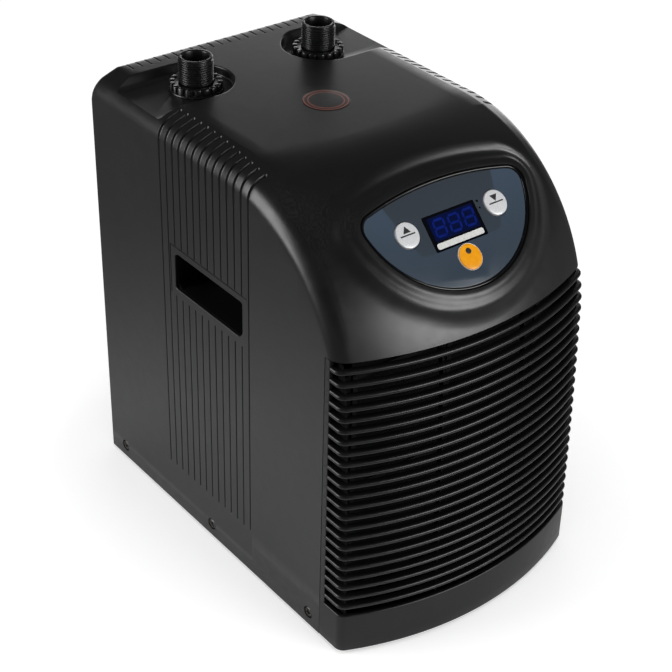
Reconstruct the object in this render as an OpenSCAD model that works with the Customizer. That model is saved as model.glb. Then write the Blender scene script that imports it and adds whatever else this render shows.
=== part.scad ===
// Aquarium chiller: moulded hood with a curved louvred front, tilted control panel,
// two threaded hose fittings on top and the whole refrigeration circuit inside.
// Origin: centre of the footprint on the floor. +Z is up and the louvred front faces -Y.

/* [Body] */
// Width over the side walls
body_w = 228; // [216:1:240]
// Depth from the bulge of the front to the rear wall
body_d = 343.4; // [335:0.2:365]
// Height of the moulded body without its feet
body_h = 347.4; // [340:0.2:365]
// Thickness of the moulded walls
wall_t = 3; // [2.4:0.1:3.2]
// Plan radius of the bowed front
front_arc_r = 262; // [230:1:320]
// Radius of the upright front corners
corner_r = 8; // [6:0.5:10]
// Height of the body edge over the floor
foot_drop = 3; // [2:0.5:5]

/* [Dome and shoulders] */
// Radius of the dome that joins the front to the top
dome_r = 142; // [132:1:150]
// How far the front has leant back where the dome starts
front_lean = 5.7; // [3:0.1:8]
// Radius that rolls each shoulder into its side wall
shoulder_r = 16.7; // [14:0.1:18]
// Width of the sloped band beside the flat top
slope_w = 11; // [8:0.5:13]
// Slope of that band
slope_a = 20; // [14:1:24]
// Radius of the rear top edge
rear_r = 8; // [6:0.5:10]

/* [Front grille] */
// Height of the hood's lower lip over the body edge
lip_h = 249; // [244:0.5:252]
// Depth of the separate front, from its bulge back to the seam
front_depth = 50.6; // [48:0.2:54]
// Number of louvre ribs
rib_n = 23; // [18:1:24]
// Height of one rib
rib_h = 3.5; // [3:0.1:4]
// Depth of one rib
rib_d = 5; // [4:0.5:7]
// Height of the plain band under the ribs
plinth_h = 34; // [30:1:38]
// Width of the plain strip between the slots and the seam
post_w = 5.2; // [4:0.2:7]

/* [Side walls] */
// Number of flutes on each side
flute_n = 14; // [10:1:14]
// Spacing of the flutes
flute_pitch = 8.53; // [8:0.01:8.6]
// Width of a flute
flute_w = 1.5; // [1:0.1:2]
// Depth of a flute
flute_t = 1; // [0.6:0.1:1.2]
// Length of the hand grip opening
grip_l = 86.3; // [80:0.1:90]
// Height of the hand grip opening
grip_h = 30.4; // [26:0.1:32]
// How far the hand grip reaches in
grip_in = 27; // [22:0.5:29]
// Height of the grip's centre over the body edge
grip_z = 227.2; // [224:0.2:229]

/* [Hose fittings] */
// Outer diameter of the male thread
thread_d = 26.44; // [24:0.01:28]
// Bore of the fitting
port_d = 20.6; // [18:0.1:21.4]
// Distance of each fitting from the middle
port_x = 57; // [54:0.5:60]
// Distance of the fittings from the rear wall
port_rear = 58.4; // [54:0.1:62]
// Height of the fitting's rim over the flat top
port_rise = 19; // [16:0.5:26]
// Outer diameter of the ring nut
nut_d = 41.5; // [38:0.5:44]
// Height of the ring nut
nut_h = 7; // [6:0.5:8]
// Depth of the scoop around each fitting
scoop_t = 7.4; // [6:0.1:8]
// Radius of the scoop's round end
scoop_r = 28.5; // [26:0.5:30]

/* [Control panel] */
// Tilt of the panel from level
panel_a = 44.4; // [42:0.2:47]
// Distance of the panel's reference point behind the front bulge
panel_back = 45.4; // [43:0.2:48]
// Height of the panel's reference point over the body edge
panel_z = 300; // [297:0.5:303]
// Diameter of the push buttons
button_d = 19; // [17:0.5:20]
// Travel of a push button
button_travel = 0.7; // [0.4:0.1:0.9]
// Width of the display window
window_w = 46.4; // [42:0.2:48]
// Height of the display window
window_h = 25.8; // [23:0.2:26]

/* [Inside] */
// Room on each side of the condenser's fin pack
cond_side = 30; // [29:1:38]
// Number of condenser fins
fin_n = 31; // [20:1:36]
// Rows of condenser tubes, one above the other
cond_rows = 8; // [6:2:8]
// Diameter of the fan
fan_d = 156; // [140:1:158]
// Number of fan blades
blade_n = 5; // [3:1:6]
// Radius of the compressor shell
comp_r = 56; // [50:1:58]
// Radius of the water vessel
vessel_r = 44; // [40:1:45]

/* [Hidden] */
$fn = 64;

// Shared clearances
seat_gap = 0.3;
slide_gap = 0.3;
run_gap = 0.05;
over = 1;

// Folded base pan and the rear panel's margin
pan_t = 1.2;
pan_gap = 0.3;
pan_up = 16;
tab = 6;

// Main planes
z_edge = foot_drop;
z_top = foot_drop + body_h;
z_lip = foot_drop + lip_h;
pan_z = foot_drop + wall_t;
y_front = -body_d / 2;
y_rear = body_d / 2;
y_seam = y_front + front_depth;

// Dome: centre of its profile on the middle plane, and the height where the front starts to curve
dome_y = y_front + front_lean + dome_r;
dome_z = z_top - dome_r;
lean_slope = 2 * front_lean / (dome_z - z_edge);
dome_a0 = atan(lean_slope);
lean_top = dome_z + dome_r * sin(dome_a0);

function sag(x) = front_arc_r - sqrt(front_arc_r * front_arc_r - x * x);
function lean(z) = front_lean * pow((z - z_edge) / (dome_z - z_edge), 2);
// Distance of the front surface behind the bulge at height z
function front_off(z) = z < lean_top ? lean(z)
    : front_lean + dome_r - sqrt(dome_r * dome_r - pow(z - dome_z, 2));

// Half cross-section of the skin from the middle to the side wall, as [across, inward] pairs:
// a flat, a sloped band and a roll, which fade to the plain corner as e goes to 0
flat_n = 7;
roll_n = 7;
function half_section(e, inset) =
    let (r = corner_r + (shoulder_r - corner_r) * e - inset,
         a = slope_a * e,
         w = slope_w * e,
         x_flat = body_w / 2 - inset - w - r * (1 - sin(a)),
         xc = x_flat + w - r * sin(a),
         nc = inset + w * tan(a) + r * cos(a))
    concat([for (i = [0:flat_n]) [x_flat * i / flat_n, inset]],
           [for (i = [0:roll_n]) let (f = a + (90 - a) * i / roll_n)
               [xc + r * sin(f), nc - r * cos(f)]]);
function full_section(e, inset) =
    let (h = half_section(e, inset), n = len(h))
    concat([for (i = [n - 1:-1:1]) [-h[i][0], h[i][1]]], h);

// Stations of the skin as [y, z, angle of the normal, fade, share of the bow, extra drop]
rear_n = 3;
dome_n = 15;
low_shares = [0.8, 0.6, 0.4, 0];
function stations(inset, low) =
    let (r = rear_r - inset)
    concat([for (i = [rear_n:-1:0]) let (f = 90 * i / rear_n)
               [y_rear - rear_r + r * sin(f), z_top, 90, 1, 0, r * (1 - cos(f))]],
           [for (i = [0:dome_n]) let (a = 90 - (90 - dome_a0) * i / dome_n)
               [dome_y - dome_r * cos(a), dome_z + dome_r * sin(a), a, pow(a / 90, 1.5), 1, 0]],
           [for (s = low_shares) let (z = z_edge + (lean_top - z_edge) * s)
               [y_front + lean(z), s == 0 ? z_edge - low : z, 0, 0, 1, 0]]);
function skin_row(s, inset) =
    [for (p = full_section(s[3], inset))
        [p[0], s[0] + p[1] * cos(s[2]) + s[4] * sag(p[0]), s[1] - (p[1] + s[5]) * sin(s[2])]];

// Closed body of the outer skin, drawn in by inset and carried on below the edge by low
module skin_body(inset, low) {
    st = stations(inset, low);
    rows = [for (s = st) skin_row(s, inset)];
    ns = len(rows);
    np = len(rows[0]);
    pts = concat([for (r = rows) each r],
                 [[-body_w / 2 + inset, y_rear - inset, z_edge - low],
                  [body_w / 2 - inset, y_rear - inset, z_edge - low]]);
    fl = ns * np;
    fr = fl + 1;
    quads = [for (i = [0:ns - 2]) for (j = [0:np - 2])
        each [[i * np + j, i * np + j + 1, (i + 1) * np + j],
              [i * np + j + 1, (i + 1) * np + j + 1, (i + 1) * np + j]]];
    left = [for (i = [0:ns - 2]) [fl, i * np, (i + 1) * np]];
    right = [for (i = [0:ns - 2]) [fr, (i + 1) * np + np - 1, i * np + np - 1]];
    rear = [concat([fl, fr], [for (j = [np - 1:-1:0]) j])];
    low_face = [concat([fr, fl], [for (j = [0:np - 1]) (ns - 1) * np + j])];
    polyhedron(points = pts, faces = concat(quads, left, right, rear, low_face), convexity = 6);
}

// Centres of the rounded front corners in plan
corner_x = body_w / 2 - corner_r;
bow_y = y_front + front_arc_r;
corner_y = bow_y - sqrt(pow(front_arc_r - corner_r, 2) - corner_x * corner_x);
bow_a = asin(corner_x / (front_arc_r - corner_r));

// Plan outline of the bowed front, drawn in by inset, back to y_back
module front_outline(inset, y_back) {
    arc_n = 20;
    end_n = 6;
    big = front_arc_r - inset;
    small = corner_r - inset;
    polygon(concat(
        [[-body_w / 2 + inset, y_back]],
        [for (i = [0:end_n]) let (f = 180 + (90 - bow_a) * i / end_n)
            [-corner_x + small * cos(f), corner_y + small * sin(f)]],
        [for (i = [1:arc_n - 1]) let (f = 270 - bow_a + 2 * bow_a * i / arc_n)
            [big * cos(f), bow_y + big * sin(f)]],
        [for (i = [0:end_n]) let (f = 270 + bow_a + (90 - bow_a) * i / end_n)
            [corner_x + small * cos(f), corner_y + small * sin(f)]],
        [[body_w / 2 - inset, y_back]]));
}

// Flat bar with its top face at z = 0, rounded at both ends along x
module rounded_plate(l, w, t, r) {
    translate([0, 0, -t])
        linear_extrude(t)
            union() {
                square([l, w - 2 * r], center = true);
                square([l - 2 * r, w], center = true);
                for (sx = [-1, 1]) for (sy = [-1, 1])
                    translate([sx * (l / 2 - r), sy * (w / 2 - r)]) circle(r, $fn = 24);
            }
}

// Tube along points, with bends of radius bend
module pipe(pts, r, bend) {
    n = len(pts);
    fine = 16;
    dirs = [for (i = [0:n - 2]) (pts[i + 1] - pts[i]) / norm(pts[i + 1] - pts[i])];
    turns = [for (i = [0:n - 3]) acos(dirs[i] * dirs[i + 1])];
    cuts = concat([0], [for (a = turns) bend * tan(a / 2)], [0]);
    for (i = [0:n - 2])
        along(pts[i] + dirs[i] * cuts[i], dirs[i])
            cylinder(r = r, h = norm(pts[i + 1] - pts[i]) - cuts[i] - cuts[i + 1], $fn = fine);
    for (i = [0:n - 3]) {
        d = dirs[i];
        side = dirs[i + 1] - d * (d * dirs[i + 1]);
        m = side / norm(side);
        c = pts[i + 1] - d * cuts[i + 1] + m * bend;
        k = cross(d, m);
        multmatrix([[-m[0], d[0], k[0], c[0]], [-m[1], d[1], k[1], c[1]],
                    [-m[2], d[2], k[2], c[2]], [0, 0, 0, 1]])
            rotate_extrude(angle = turns[i], $fn = 2 * fine) translate([bend, 0]) circle(r, $fn = fine);
    }
}

// Moves to p and turns +Z towards the direction d
module along(p, d) {
    b = acos(d[2] / norm(d));
    c = atan2(d[1], d[0]);
    translate(p) rotate([0, b, c]) children();
}

c_shell = "#2a2a2c";
c_dark = "#161617";
c_copper = "#b4713d";
c_steel = "#a9abad";

// Scoops and hose ports

port_y = y_rear - port_rear;
floor_z = z_top - scoop_t;
module scoop(s, extra, low) {
    r = scoop_r + extra;
    translate([s * port_x, port_y, floor_z - low]) cylinder(r = r, h = scoop_t + low + over, $fn = 72);
    translate([s > 0 ? port_x : -body_w / 2 - over, port_y - r, floor_z - low])
        cube([body_w / 2 - port_x + over, 2 * r, scoop_t + low + over]);
}

// Flutes: a band outside the drawn-in cross-section of the top and side
flute_low = 40;
flute_top_z = z_edge + flute_low;
flute_first = y_rear - scoop_r - port_rear - flute_pitch + seat_gap * 3;
flute_in_x = body_w / 2 - slope_w - 0.57 * shoulder_r;
module flute_band(s) {
    sec = half_section(1, flute_t);
    ring = [for (p = sec) if (p[0] > flute_in_x) [p[0], z_top - p[1]]];
    out = body_w / 2 + over;
    mirror([s > 0 ? 0 : 1, 0, 0])
        rotate([90, 0, 0])
            linear_extrude(flute_w, center = true)
                polygon(concat([[flute_in_x, z_top + over], [flute_in_x, z_top - flute_t]], ring,
                               [[body_w / 2 - flute_t, flute_top_z], [out, flute_top_z],
                                [out, z_top + over]]));
}

// Hand grips
grip_w = 5.5;
grip_r = 4;
grip_rear = 153.9;
grip_y = y_rear - grip_rear;
grip_mid = z_edge + grip_z;
frame_l = grip_l + 2 * grip_w;
frame_h = grip_h + 2 * grip_w;
module grip_shape(l, h, r, cut) {
    polygon([[-l / 2 + cut, -h / 2], [l / 2 - r, -h / 2], [l / 2, -h / 2 + r], [l / 2, h / 2 - r],
             [l / 2 - r, h / 2], [-l / 2 + r, h / 2], [-l / 2, h / 2 - r], [-l / 2, -h / 2 + cut]]);
}
// Shape across the side wall, from depth x_in to x_out measured outwards from the middle
module grip_at(s, x_in, x_out) {
    mirror([s > 0 ? 0 : 1, 0, 0])
        translate([x_in, grip_y, grip_mid])
            rotate([90, 0, 90]) mirror([0, 0, 0]) linear_extrude(x_out - x_in) children();
}

hood();
module hood() {
    color(c_shell)
        difference() {
            union() {
                difference() {
                    skin_body(0, 0);
                    difference() {
                        skin_body(wall_t, over);
                        for (s = [-1, 1]) scoop(s, wall_t, wall_t);
                        in_panel() panel_solid(seat_d, -plate_t - ledge_t, -plate_t);
                        for (p = rear_screw_at) rear_lug(p);
                    }
                }
                difference() {
                    in_panel() collar();
                    skin_body(wall_t, over);
                }
            }
            front_room();
            for (s = [-1, 1]) {
                scoop(s, 0, 0);
                translate([s * port_x, port_y, floor_z - wall_t - over])
                    cylinder(r = thread_d / 2 + seat_gap, h = wall_t + 2 * over);
                for (i = [0:flute_n - 1])
                    difference() {
                        translate([0, flute_first - i * flute_pitch, 0]) flute_band(s);
                        grip_at(s, body_w / 2 - wall_t, body_w / 2 + 2 * over)
                            square([frame_l, frame_h], center = true);
                    }
                grip_at(s, body_w / 2 - wall_t - over, body_w / 2 + over)
                    grip_shape(grip_l, grip_h, grip_r, grip_r);
                for (y = screw_ys) translate([s * (body_w / 2 + over), y, screw_z])
                    rotate([0, -s * 90, 0]) {
                        cylinder(r = screw_head_r + seat_gap, h = screw_head_h + over);
                        cylinder(r = screw_r + seat_gap, h = wall_t + 2 * over);
                    }
            }
            in_panel() panel_solid(seat_d, -plate_t, plate_t + collar_w);
            in_panel() panel_solid(-ledge_w, -collar_w - collar_sink, plate_t);
            rear_cut(seat_gap, wall_t + over);
            for (p = rear_screw_at) rear_at(p) rotate([90, 0, 0]) cylinder(r = screw_r, h = screw_l + over);
            for (i = [0:ridge_n - 1])
                translate([(i - (ridge_n - 1) / 2) * ridge_pitch, 0, 0]) ridge_band();
        }
}

// Space of the separate front: everything ahead of the seam and below the lip
module front_room() {
    translate([-body_w / 2 - over, y_front - over, z_edge - over])
        cube([body_w + 2 * over, y_seam - y_front + over, z_lip - z_edge + over]);
}

// Rear wall
ridge_n = 22;
ridge_pitch = 8.1;
ridge_l = 30;
rear_w = 196;
rear_h = 208;
rear_z = pan_z + pan_up + seat_gap + tab + rear_h / 2;
rear_t = 1.5;
module rear_cut(gap, t) {
    translate([0, y_rear + over, rear_z]) rotate([90, 0, 0])
        linear_extrude(t) square([rear_w + 2 * gap, rear_h + 2 * gap], center = true);
}
lug_h = 12;
lug_t = 4;
module rear_at(p) {
    translate([p[0] * (rear_w / 2 - tab), y_rear - wall_t, rear_z + p[1] * (rear_h / 2 - tab)])
        children();
}
module rear_lug(p) {
    l = (body_w - wall_t) / 2 - rear_w / 2 + 2 * tab;
    rear_at(p) translate([p[0] > 0 ? -tab : tab - l, -rear_t - lug_t, -lug_h / 2])
        cube([l, lug_t, lug_h]);
}
module ridge_band() {
    r = rear_r - flute_t;
    cy = y_rear - rear_r;
    cz = z_top - rear_r;
    rotate([90, 0, 90])
        linear_extrude(flute_w, center = true)
            polygon(concat([[y_rear + over, cz - ridge_l], [y_rear - flute_t, cz - ridge_l]],
                           [for (f = [0:15:90]) [cy + r * cos(f), cz + r * sin(f)]],
                           [[cy, z_top + over], [y_rear + over, z_top + over]]));
}

// Side screws
screw_r = 2;
screw_head_r = 4.4;
screw_head_h = 1.4;
screw_l = 9;
screw_up = 11.1;
screw_z = z_edge + screw_up;
screw_shares = [0.0655, 0.442, 0.8133];
screw_ys = [for (f = screw_shares) y_rear - f * body_d];
side_screws();
module side_screws() {
    color(c_steel)
        for (s = [-1, 1]) for (y = screw_ys)
            translate([s * body_w / 2, y, screw_z]) rotate([0, -s * 90, 0])
                difference() {
                    union() {
                        cylinder(r = screw_head_r, h = screw_head_h);
                        cylinder(r = screw_r, h = screw_l);
                    }
                    for (a = [0, 90]) rotate([0, 0, a])
                        cube([screw_head_r, screw_r / 2, screw_head_h], center = true);
                }
}

// Control panel, drawn in its own plane: x across, y up the slope, z out of it
plate_t = 3;
ledge_t = 2;
ledge_w = 5;
seat_d = 2.6;
collar_w = 16;
collar_rise = 2;
collar_sink = 14;
panel_top_r = 260;
panel_low_r = 71.2;
panel_end_r = 10;
panel_top_v = 46.5;
panel_low_v = -29.5;
collar_shares = [[1, -1], [0.9, -0.62], [0.75, -0.25], [0.58, 0.2], [0.42, 0.8],
                 [0.3, 1], [0.2, 0.8], [0.1, 0.35]];
module in_panel() {
    translate([0, y_front + panel_back, z_edge + panel_z]) rotate([panel_a, 0, 0]) children();
}
// Outline of the plate grown by d
function panel_points(d) =
    let (v1 = panel_top_v - panel_top_r, v2 = panel_low_v + panel_low_r,
         q1 = panel_top_r - panel_end_r, q2 = panel_low_r - panel_end_r, gap = v2 - v1,
         up = (q1 * q1 - q2 * q2 + gap * gap) / (2 * gap), u = sqrt(q1 * q1 - up * up),
         a1 = atan2(up, u), a2 = atan2(v1 + up - v2, u))
    concat([for (i = [0:12]) let (f = a1 + (180 - 2 * a1) * i / 12)
               [(panel_top_r + d) * cos(f), v1 + (panel_top_r + d) * sin(f)]],
           [for (i = [1:7]) let (f = 180 - a1 + (a1 - a2) * i / 8)
               [-u + (panel_end_r + d) * cos(f), v1 + up + (panel_end_r + d) * sin(f)]],
           [for (i = [0:22]) let (f = 180 - a2 + (180 + 2 * a2) * i / 22)
               [(panel_low_r + d) * cos(f), v2 + (panel_low_r + d) * sin(f)]],
           [for (i = [1:7]) let (f = a2 + (a1 - a2) * i / 8)
               [u + (panel_end_r + d) * cos(f), v1 + up + (panel_end_r + d) * sin(f)]]);
module panel_solid(d, z0, z1) {
    translate([0, 0, z0]) linear_extrude(z1 - z0) polygon(panel_points(d));
}
module collar() {
    rows = [for (s = collar_shares)
        let (h = s[1] > 0 ? s[1] * collar_rise : s[1] * collar_sink)
        [for (p = panel_points(s[0] * collar_w)) [p[0], p[1], h]]];
    np = len(rows[0]);
    nr = len(rows);
    polyhedron(points = [for (r = rows) each r],
               faces = concat([[for (j = [0:np - 1]) j]],
                              [for (i = [0:nr - 2]) for (j = [0:np - 1]) let (k = (j + 1) % np)
                                  each [[i * np + j, (i + 1) * np + j, i * np + k],
                                        [i * np + k, (i + 1) * np + j, (i + 1) * np + k]]],
                              [[for (j = [np - 1:-1:0]) (nr - 1) * np + j]]));
}

window_v = 13.25;
button_u = 39.9;
button_v = 18.6;
set_v = -10.2;
button_at = [[-button_u, button_v], [button_u, button_v], [0, set_v]];
board_z = -14;
board_t = 1.6;
post_r = 3;
post_up = 32;
post_u = 50;
low_post_u = 32;
low_post_v = -9;
post_at = [[-post_u, post_up], [post_u, post_up], [-low_post_u, low_post_v], [low_post_u, low_post_v]];
board_w = 116;
board_h = 54;
board_v = 11;
chip_w = 14;
chip_d = 10;
window_t = 1.6;
cap_rise = 1.4;
flange_t = 1.2;
flange_w = 1.6;
stem_r = 2;
tact_h = 4.3;
tact_w = 6;
tact_r = 1.75;
module at_button(i) {
    translate([button_at[i][0], button_at[i][1], 0]) children();
}
panel_plate();
module panel_plate() {
    color("#4d5b66")
        in_panel()
            difference() {
                union() {
                    panel_solid(0, -plate_t, 0);
                    for (p = post_at) translate([p[0], p[1], board_z + board_t])
                        cylinder(r = post_r, h = -plate_t - board_z - board_t, $fn = 24);
                }
                translate([0, window_v, over])
                    rounded_plate(window_w + 2 * seat_gap, window_h + 2 * seat_gap,
                                  window_t + seat_gap + over, wall_t / 2);
                translate([0, window_v, 0])
                    cube([window_w - 2 * wall_t, window_h - 2 * wall_t, 3 * plate_t], center = true);
                for (i = [0:2]) at_button(i) translate([0, 0, -plate_t - over])
                    cylinder(r = button_d / 2 + slide_gap, h = plate_t + 2 * over);
            }
}
panel_gasket();
module panel_gasket() {
    color(c_dark)
        in_panel()
            difference() {
                panel_solid(seat_d - seat_gap, -plate_t, collar_rise / 3);
                panel_solid(seat_gap, -plate_t - over, collar_rise);
            }
}
display_window();
module display_window() {
    color("#08090d")
        in_panel() translate([0, window_v, 0])
            rounded_plate(window_w, window_h, window_t, wall_t / 2);
}
display_module();
module display_module() {
    l = window_w - 2 * wall_t - 2 * over;
    h = window_h - 2 * wall_t - 2 * over;
    top = -window_t - 2 * seat_gap;
    color("#10131c")
        in_panel() translate([0, window_v, board_z + board_t])
            linear_extrude(top - board_z - board_t) square([l, h], center = true);
}
module push_button(i, tint) {
    under = -plate_t - seat_gap;
    color(tint)
        in_panel() at_button(i) {
            translate([0, 0, under - over]) cylinder(r = button_d / 2, h = cap_rise - under + over);
            translate([0, 0, under - flange_t])
                cylinder(r = button_d / 2 + flange_w, h = flange_t);
            translate([0, 0, board_z + board_t + tact_h + button_travel + seat_gap])
                cylinder(r = stem_r, h = under - board_z - board_t - tact_h - button_travel - seat_gap);
        }
}
push_button(0, "#d9dadb");  // button_up
push_button(1, "#d9dadb");  // button_down
push_button(2, "#f5a800");  // button_set
tact_switches();
module tact_switches() {
    color(c_steel)
        in_panel() for (i = [0:2]) at_button(i) translate([0, 0, board_z + board_t]) {
            translate([0, 0, tact_h * 0.4]) cube([tact_w, tact_w, tact_h * 0.8], center = true);
            cylinder(r = tact_r, h = tact_h, $fn = 24);
        }
}
control_board();
module control_board() {
    color("#1f5a37")
        in_panel() translate([0, board_v, board_z]) {
            linear_extrude(board_t) square([board_w, board_h], center = true);
            for (i = [-2:2:2]) translate([i * chip_w * 0.8, chip_d * 0.8, -chip_d / 2 + over / 2])
                cube([chip_w, chip_d, chip_d + over], center = true);
        }
}

// Separate louvred front
rib_pitch = (lip_h - plinth_h + rib_h) / (rib_n + 1);
function rib_z(i) = z_edge + plinth_h - rib_h / 2 + rib_pitch * (i + 1);
front_t = 3;
module rib(off) {
    y_back = y_seam - seat_gap - off;
    translate([0, 0, -rib_h / 2])
        linear_extrude(rib_h)
            difference() {
                front_outline(0, y_back);
                front_outline(rib_d, y_back + over);
            }
}
// Filler behind the ribs at each rounded corner, which leaves shallow notches between them
notch_t = 1.2;
brace_a = 24;
brace_n = 5;
module corner_brace() {
    r0 = corner_r - rib_d + over / 2;
    r1 = corner_r - notch_t;
    h = rib_pitch + over;
    for (s = [0, 1]) mirror([s, 0, 0])
        translate([corner_x, corner_y, -h / 2])
            linear_extrude(h)
                polygon(concat(
                    [for (i = [0:brace_n]) let (f = 315 - brace_a + 2 * brace_a * i / brace_n)
                        [r1 * cos(f), r1 * sin(f)]],
                    [for (i = [brace_n:-1:0]) let (f = 315 - brace_a + 2 * brace_a * i / brace_n)
                        [r0 * cos(f), r0 * sin(f)]]));
}
stay_t = 3;
stay_w = 5;
front_grille();
module front_grille() {
    z0 = z_edge + plinth_h - over;
    z1 = rib_z(rib_n - 1) + rib_h / 2;
    steps = 12;
    stay = [for (i = [0:steps]) let (z = z0 + (z1 - z0) * i / steps) [front_off(z) + rib_d - over, z]];
    color(c_shell) {
        for (i = [0:rib_n - 1]) translate([0, front_off(rib_z(i)), rib_z(i)]) {
            rib(front_off(rib_z(i)));
            corner_brace();
        }
        difference() {
            translate([0, 0, z_edge]) linear_extrude(plinth_h) front_outline(0, y_seam - seat_gap);
            translate([0, 0, z_edge - over]) linear_extrude(plinth_h + 2 * over)
                front_outline(front_t, y_seam + over);
        }
        for (s = [0, 1]) mirror([s, 0, 0]) {
            translate([body_w / 2 - front_t, y_seam - seat_gap - post_w, z_edge])
                cube([front_t, post_w, lip_h - seat_gap]);
            translate([body_w / 6 - stay_t / 2, y_front + sag(body_w / 6), 0]) rotate([90, 0, 90])
                linear_extrude(stay_t)
                    polygon(concat(stay, [for (i = [steps:-1:0]) stay[i] + [stay_w, 0]]));
        }
    }
}

// Dust filter behind the louvres
filter_t = 6;
filter_gap = 1;
frame_t = 4;
cond_foot = 24;
row_pitch = 22;
filter_y = y_seam + filter_gap;
filter_w = body_w - 2 * cond_side + 2 * frame_t;
filter_h = 196;
filter_up = 26;
filter_z = z_edge + filter_up;
filter_frame();
module filter_frame() {
    color(c_dark)
        translate([0, filter_y, filter_z + filter_h / 2]) rotate([-90, 0, 0])
            linear_extrude(filter_t)
                difference() {
                    square([filter_w, filter_h], center = true);
                    for (sx = [-1, 1]) for (sy = [-1, 1])
                        translate([sx * (filter_w - frame_t) / 4, sy * (filter_h - frame_t) / 4])
                            square([(filter_w - 3 * frame_t) / 2, (filter_h - 3 * frame_t) / 2],
                                   center = true);
                }
}
filter_foam();
module filter_foam() {
    color("#232323")
        for (sx = [-1, 1]) for (sz = [-1, 1])
            translate([sx * (filter_w - frame_t) / 4, filter_y + filter_t / 2,
                       filter_z + filter_h / 2 + sz * (filter_h - frame_t) / 4])
                cube([(filter_w - 3 * frame_t) / 2 - seat_gap, filter_t - 2 * over,
                      (filter_h - 3 * frame_t) / 2 - seat_gap], center = true);
}

// Base pan, folded up inside the plinth and the walls
foot_r = 12;
foot_in_x = 26;
foot_in_y = 30;
floor_top = pan_z + pan_t;
base_pan();
module base_pan() {
    inset = wall_t + pan_gap;
    color(c_steel)
        difference() {
            union() {
                translate([0, 0, pan_z]) linear_extrude(pan_up) pan_outline(inset);
            }
            translate([0, 0, floor_top]) linear_extrude(pan_up) pan_outline(inset + pan_t);
            for (s = [-1, 1]) for (y = screw_ys)
                translate([s * body_w / 2, y, screw_z]) rotate([0, 90, 0])
                    cylinder(r = screw_r, h = 4 * wall_t, center = true);
            for (i = [-4:4]) translate([i * foot_in_x * 0.6, y_front + 2 * foot_in_y, pan_z - over])
                linear_extrude(pan_t + 2 * over) square([foot_r / 2, foot_in_y], center = true);
        }
}
module pan_outline(inset) {
    front_outline(inset, y_rear - inset);
}
module foot(sx, sy) {
    color(c_dark)
        translate([sx * (body_w / 2 - foot_in_x),
                   sy > 0 ? y_rear - foot_in_y : y_front + foot_in_y + sag(body_w / 2 - foot_in_x), 0])
            difference() {
                union() {
                    cylinder(r1 = foot_r - foot_drop / 2, r2 = foot_r, h = foot_drop / 2);
                    translate([0, 0, foot_drop / 2]) cylinder(r = foot_r, h = pan_z - foot_drop / 2);
                }
                translate([0, 0, -over]) cylinder(r = foot_r / 3, h = foot_drop + over);
            }
}
foot(-1, -1);  // foot_front_left
foot(1, -1);  // foot_front_right
foot(-1, 1);  // foot_rear_left
foot(1, 1);  // foot_rear_right

// Rear panel with exhaust louvres, seated in the rear wall
vent_n = 14;
vent_w = 76;
vent_h = 5;
vent_pitch = 11;
gland_x = 70;
fuse_x = 40;
inlet_z = 42;
gland_at = [gland_x, inlet_z];
fuse_at = [fuse_x, inlet_z];
gland_r = 8;
fuse_r = 6;
rear_screw_at = [[-1, -1], [1, -1], [-1, 1], [1, 1]];
rear_panel();
module rear_panel() {
    color(c_dark)
        translate([0, y_rear - wall_t, rear_z]) rotate([90, 0, 0])
            difference() {
                union() {
                    linear_extrude(rear_t) square([rear_w + 2 * tab, rear_h + 2 * tab], center = true);
                    for (i = [0:vent_n - 1]) for (s = [-1, 1])
                        translate([s * vent_w * 0.58, (i + 0.5) * vent_pitch - rear_h / 2 + 4 * vent_pitch, 0])
                            rotate([0, 0, 180]) vent_hood();
                }
                for (i = [0:vent_n - 1]) for (s = [-1, 1])
                    translate([s * vent_w * 0.58, (i + 0.5) * vent_pitch - rear_h / 2 + 4 * vent_pitch, 0])
                        cube([vent_w, vent_h, 3 * rear_t], center = true);
                translate([gland_at[0], gland_at[1] - rear_z, -over]) cylinder(r = gland_r, h = 3 * rear_t);
                translate([fuse_at[0], fuse_at[1] - rear_z, -over]) cylinder(r = fuse_r, h = 3 * rear_t);
                for (p = rear_screw_at)
                    translate([p[0] * (rear_w / 2 - tab), p[1] * (rear_h / 2 - tab), -over])
                        cylinder(r = screw_r + seat_gap, h = 3 * rear_t);
            }
}
module vent_hood() {
    translate([-vent_w / 2, vent_h / 2, 0]) cube([vent_w, rear_t, vent_h / 2]);
}
rear_screws();
module rear_screws() {
    color(c_steel)
        for (p = rear_screw_at)
            rear_at(p)
                rotate([90, 0, 0]) {
                    translate([0, 0, -screw_head_h]) cylinder(r = screw_head_r, h = screw_head_h);
                    cylinder(r = screw_r, h = screw_l);
                }
}
cord_gland();
module cord_gland() {
    color(c_dark)
        translate([gland_at[0], y_rear - wall_t, gland_at[1]]) rotate([90, 0, 0])
            difference() {
                union() {
                    translate([0, 0, -wall_t + seat_gap]) cylinder(r = 1.4 * gland_r, h = wall_t - seat_gap);
                    cylinder(r = gland_r - run_gap, h = 4 * gland_r);
                    translate([0, 0, rear_t]) cylinder(r = 1.4 * gland_r, h = gland_r / 2, $fn = 6);
                }
                translate([0, 0, -2 * wall_t]) cylinder(r = gland_r / 2, h = 6 * gland_r);
            }
}
fuse_holder();
module fuse_holder() {
    color(c_dark)
        translate([fuse_at[0], y_rear - wall_t, fuse_at[1]]) rotate([90, 0, 0]) {
            translate([0, 0, -wall_t + seat_gap]) cylinder(r = fuse_r + 2 * over, h = wall_t - seat_gap);
            cylinder(r = fuse_r - run_gap, h = 5 * fuse_r);
        }
}

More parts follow.
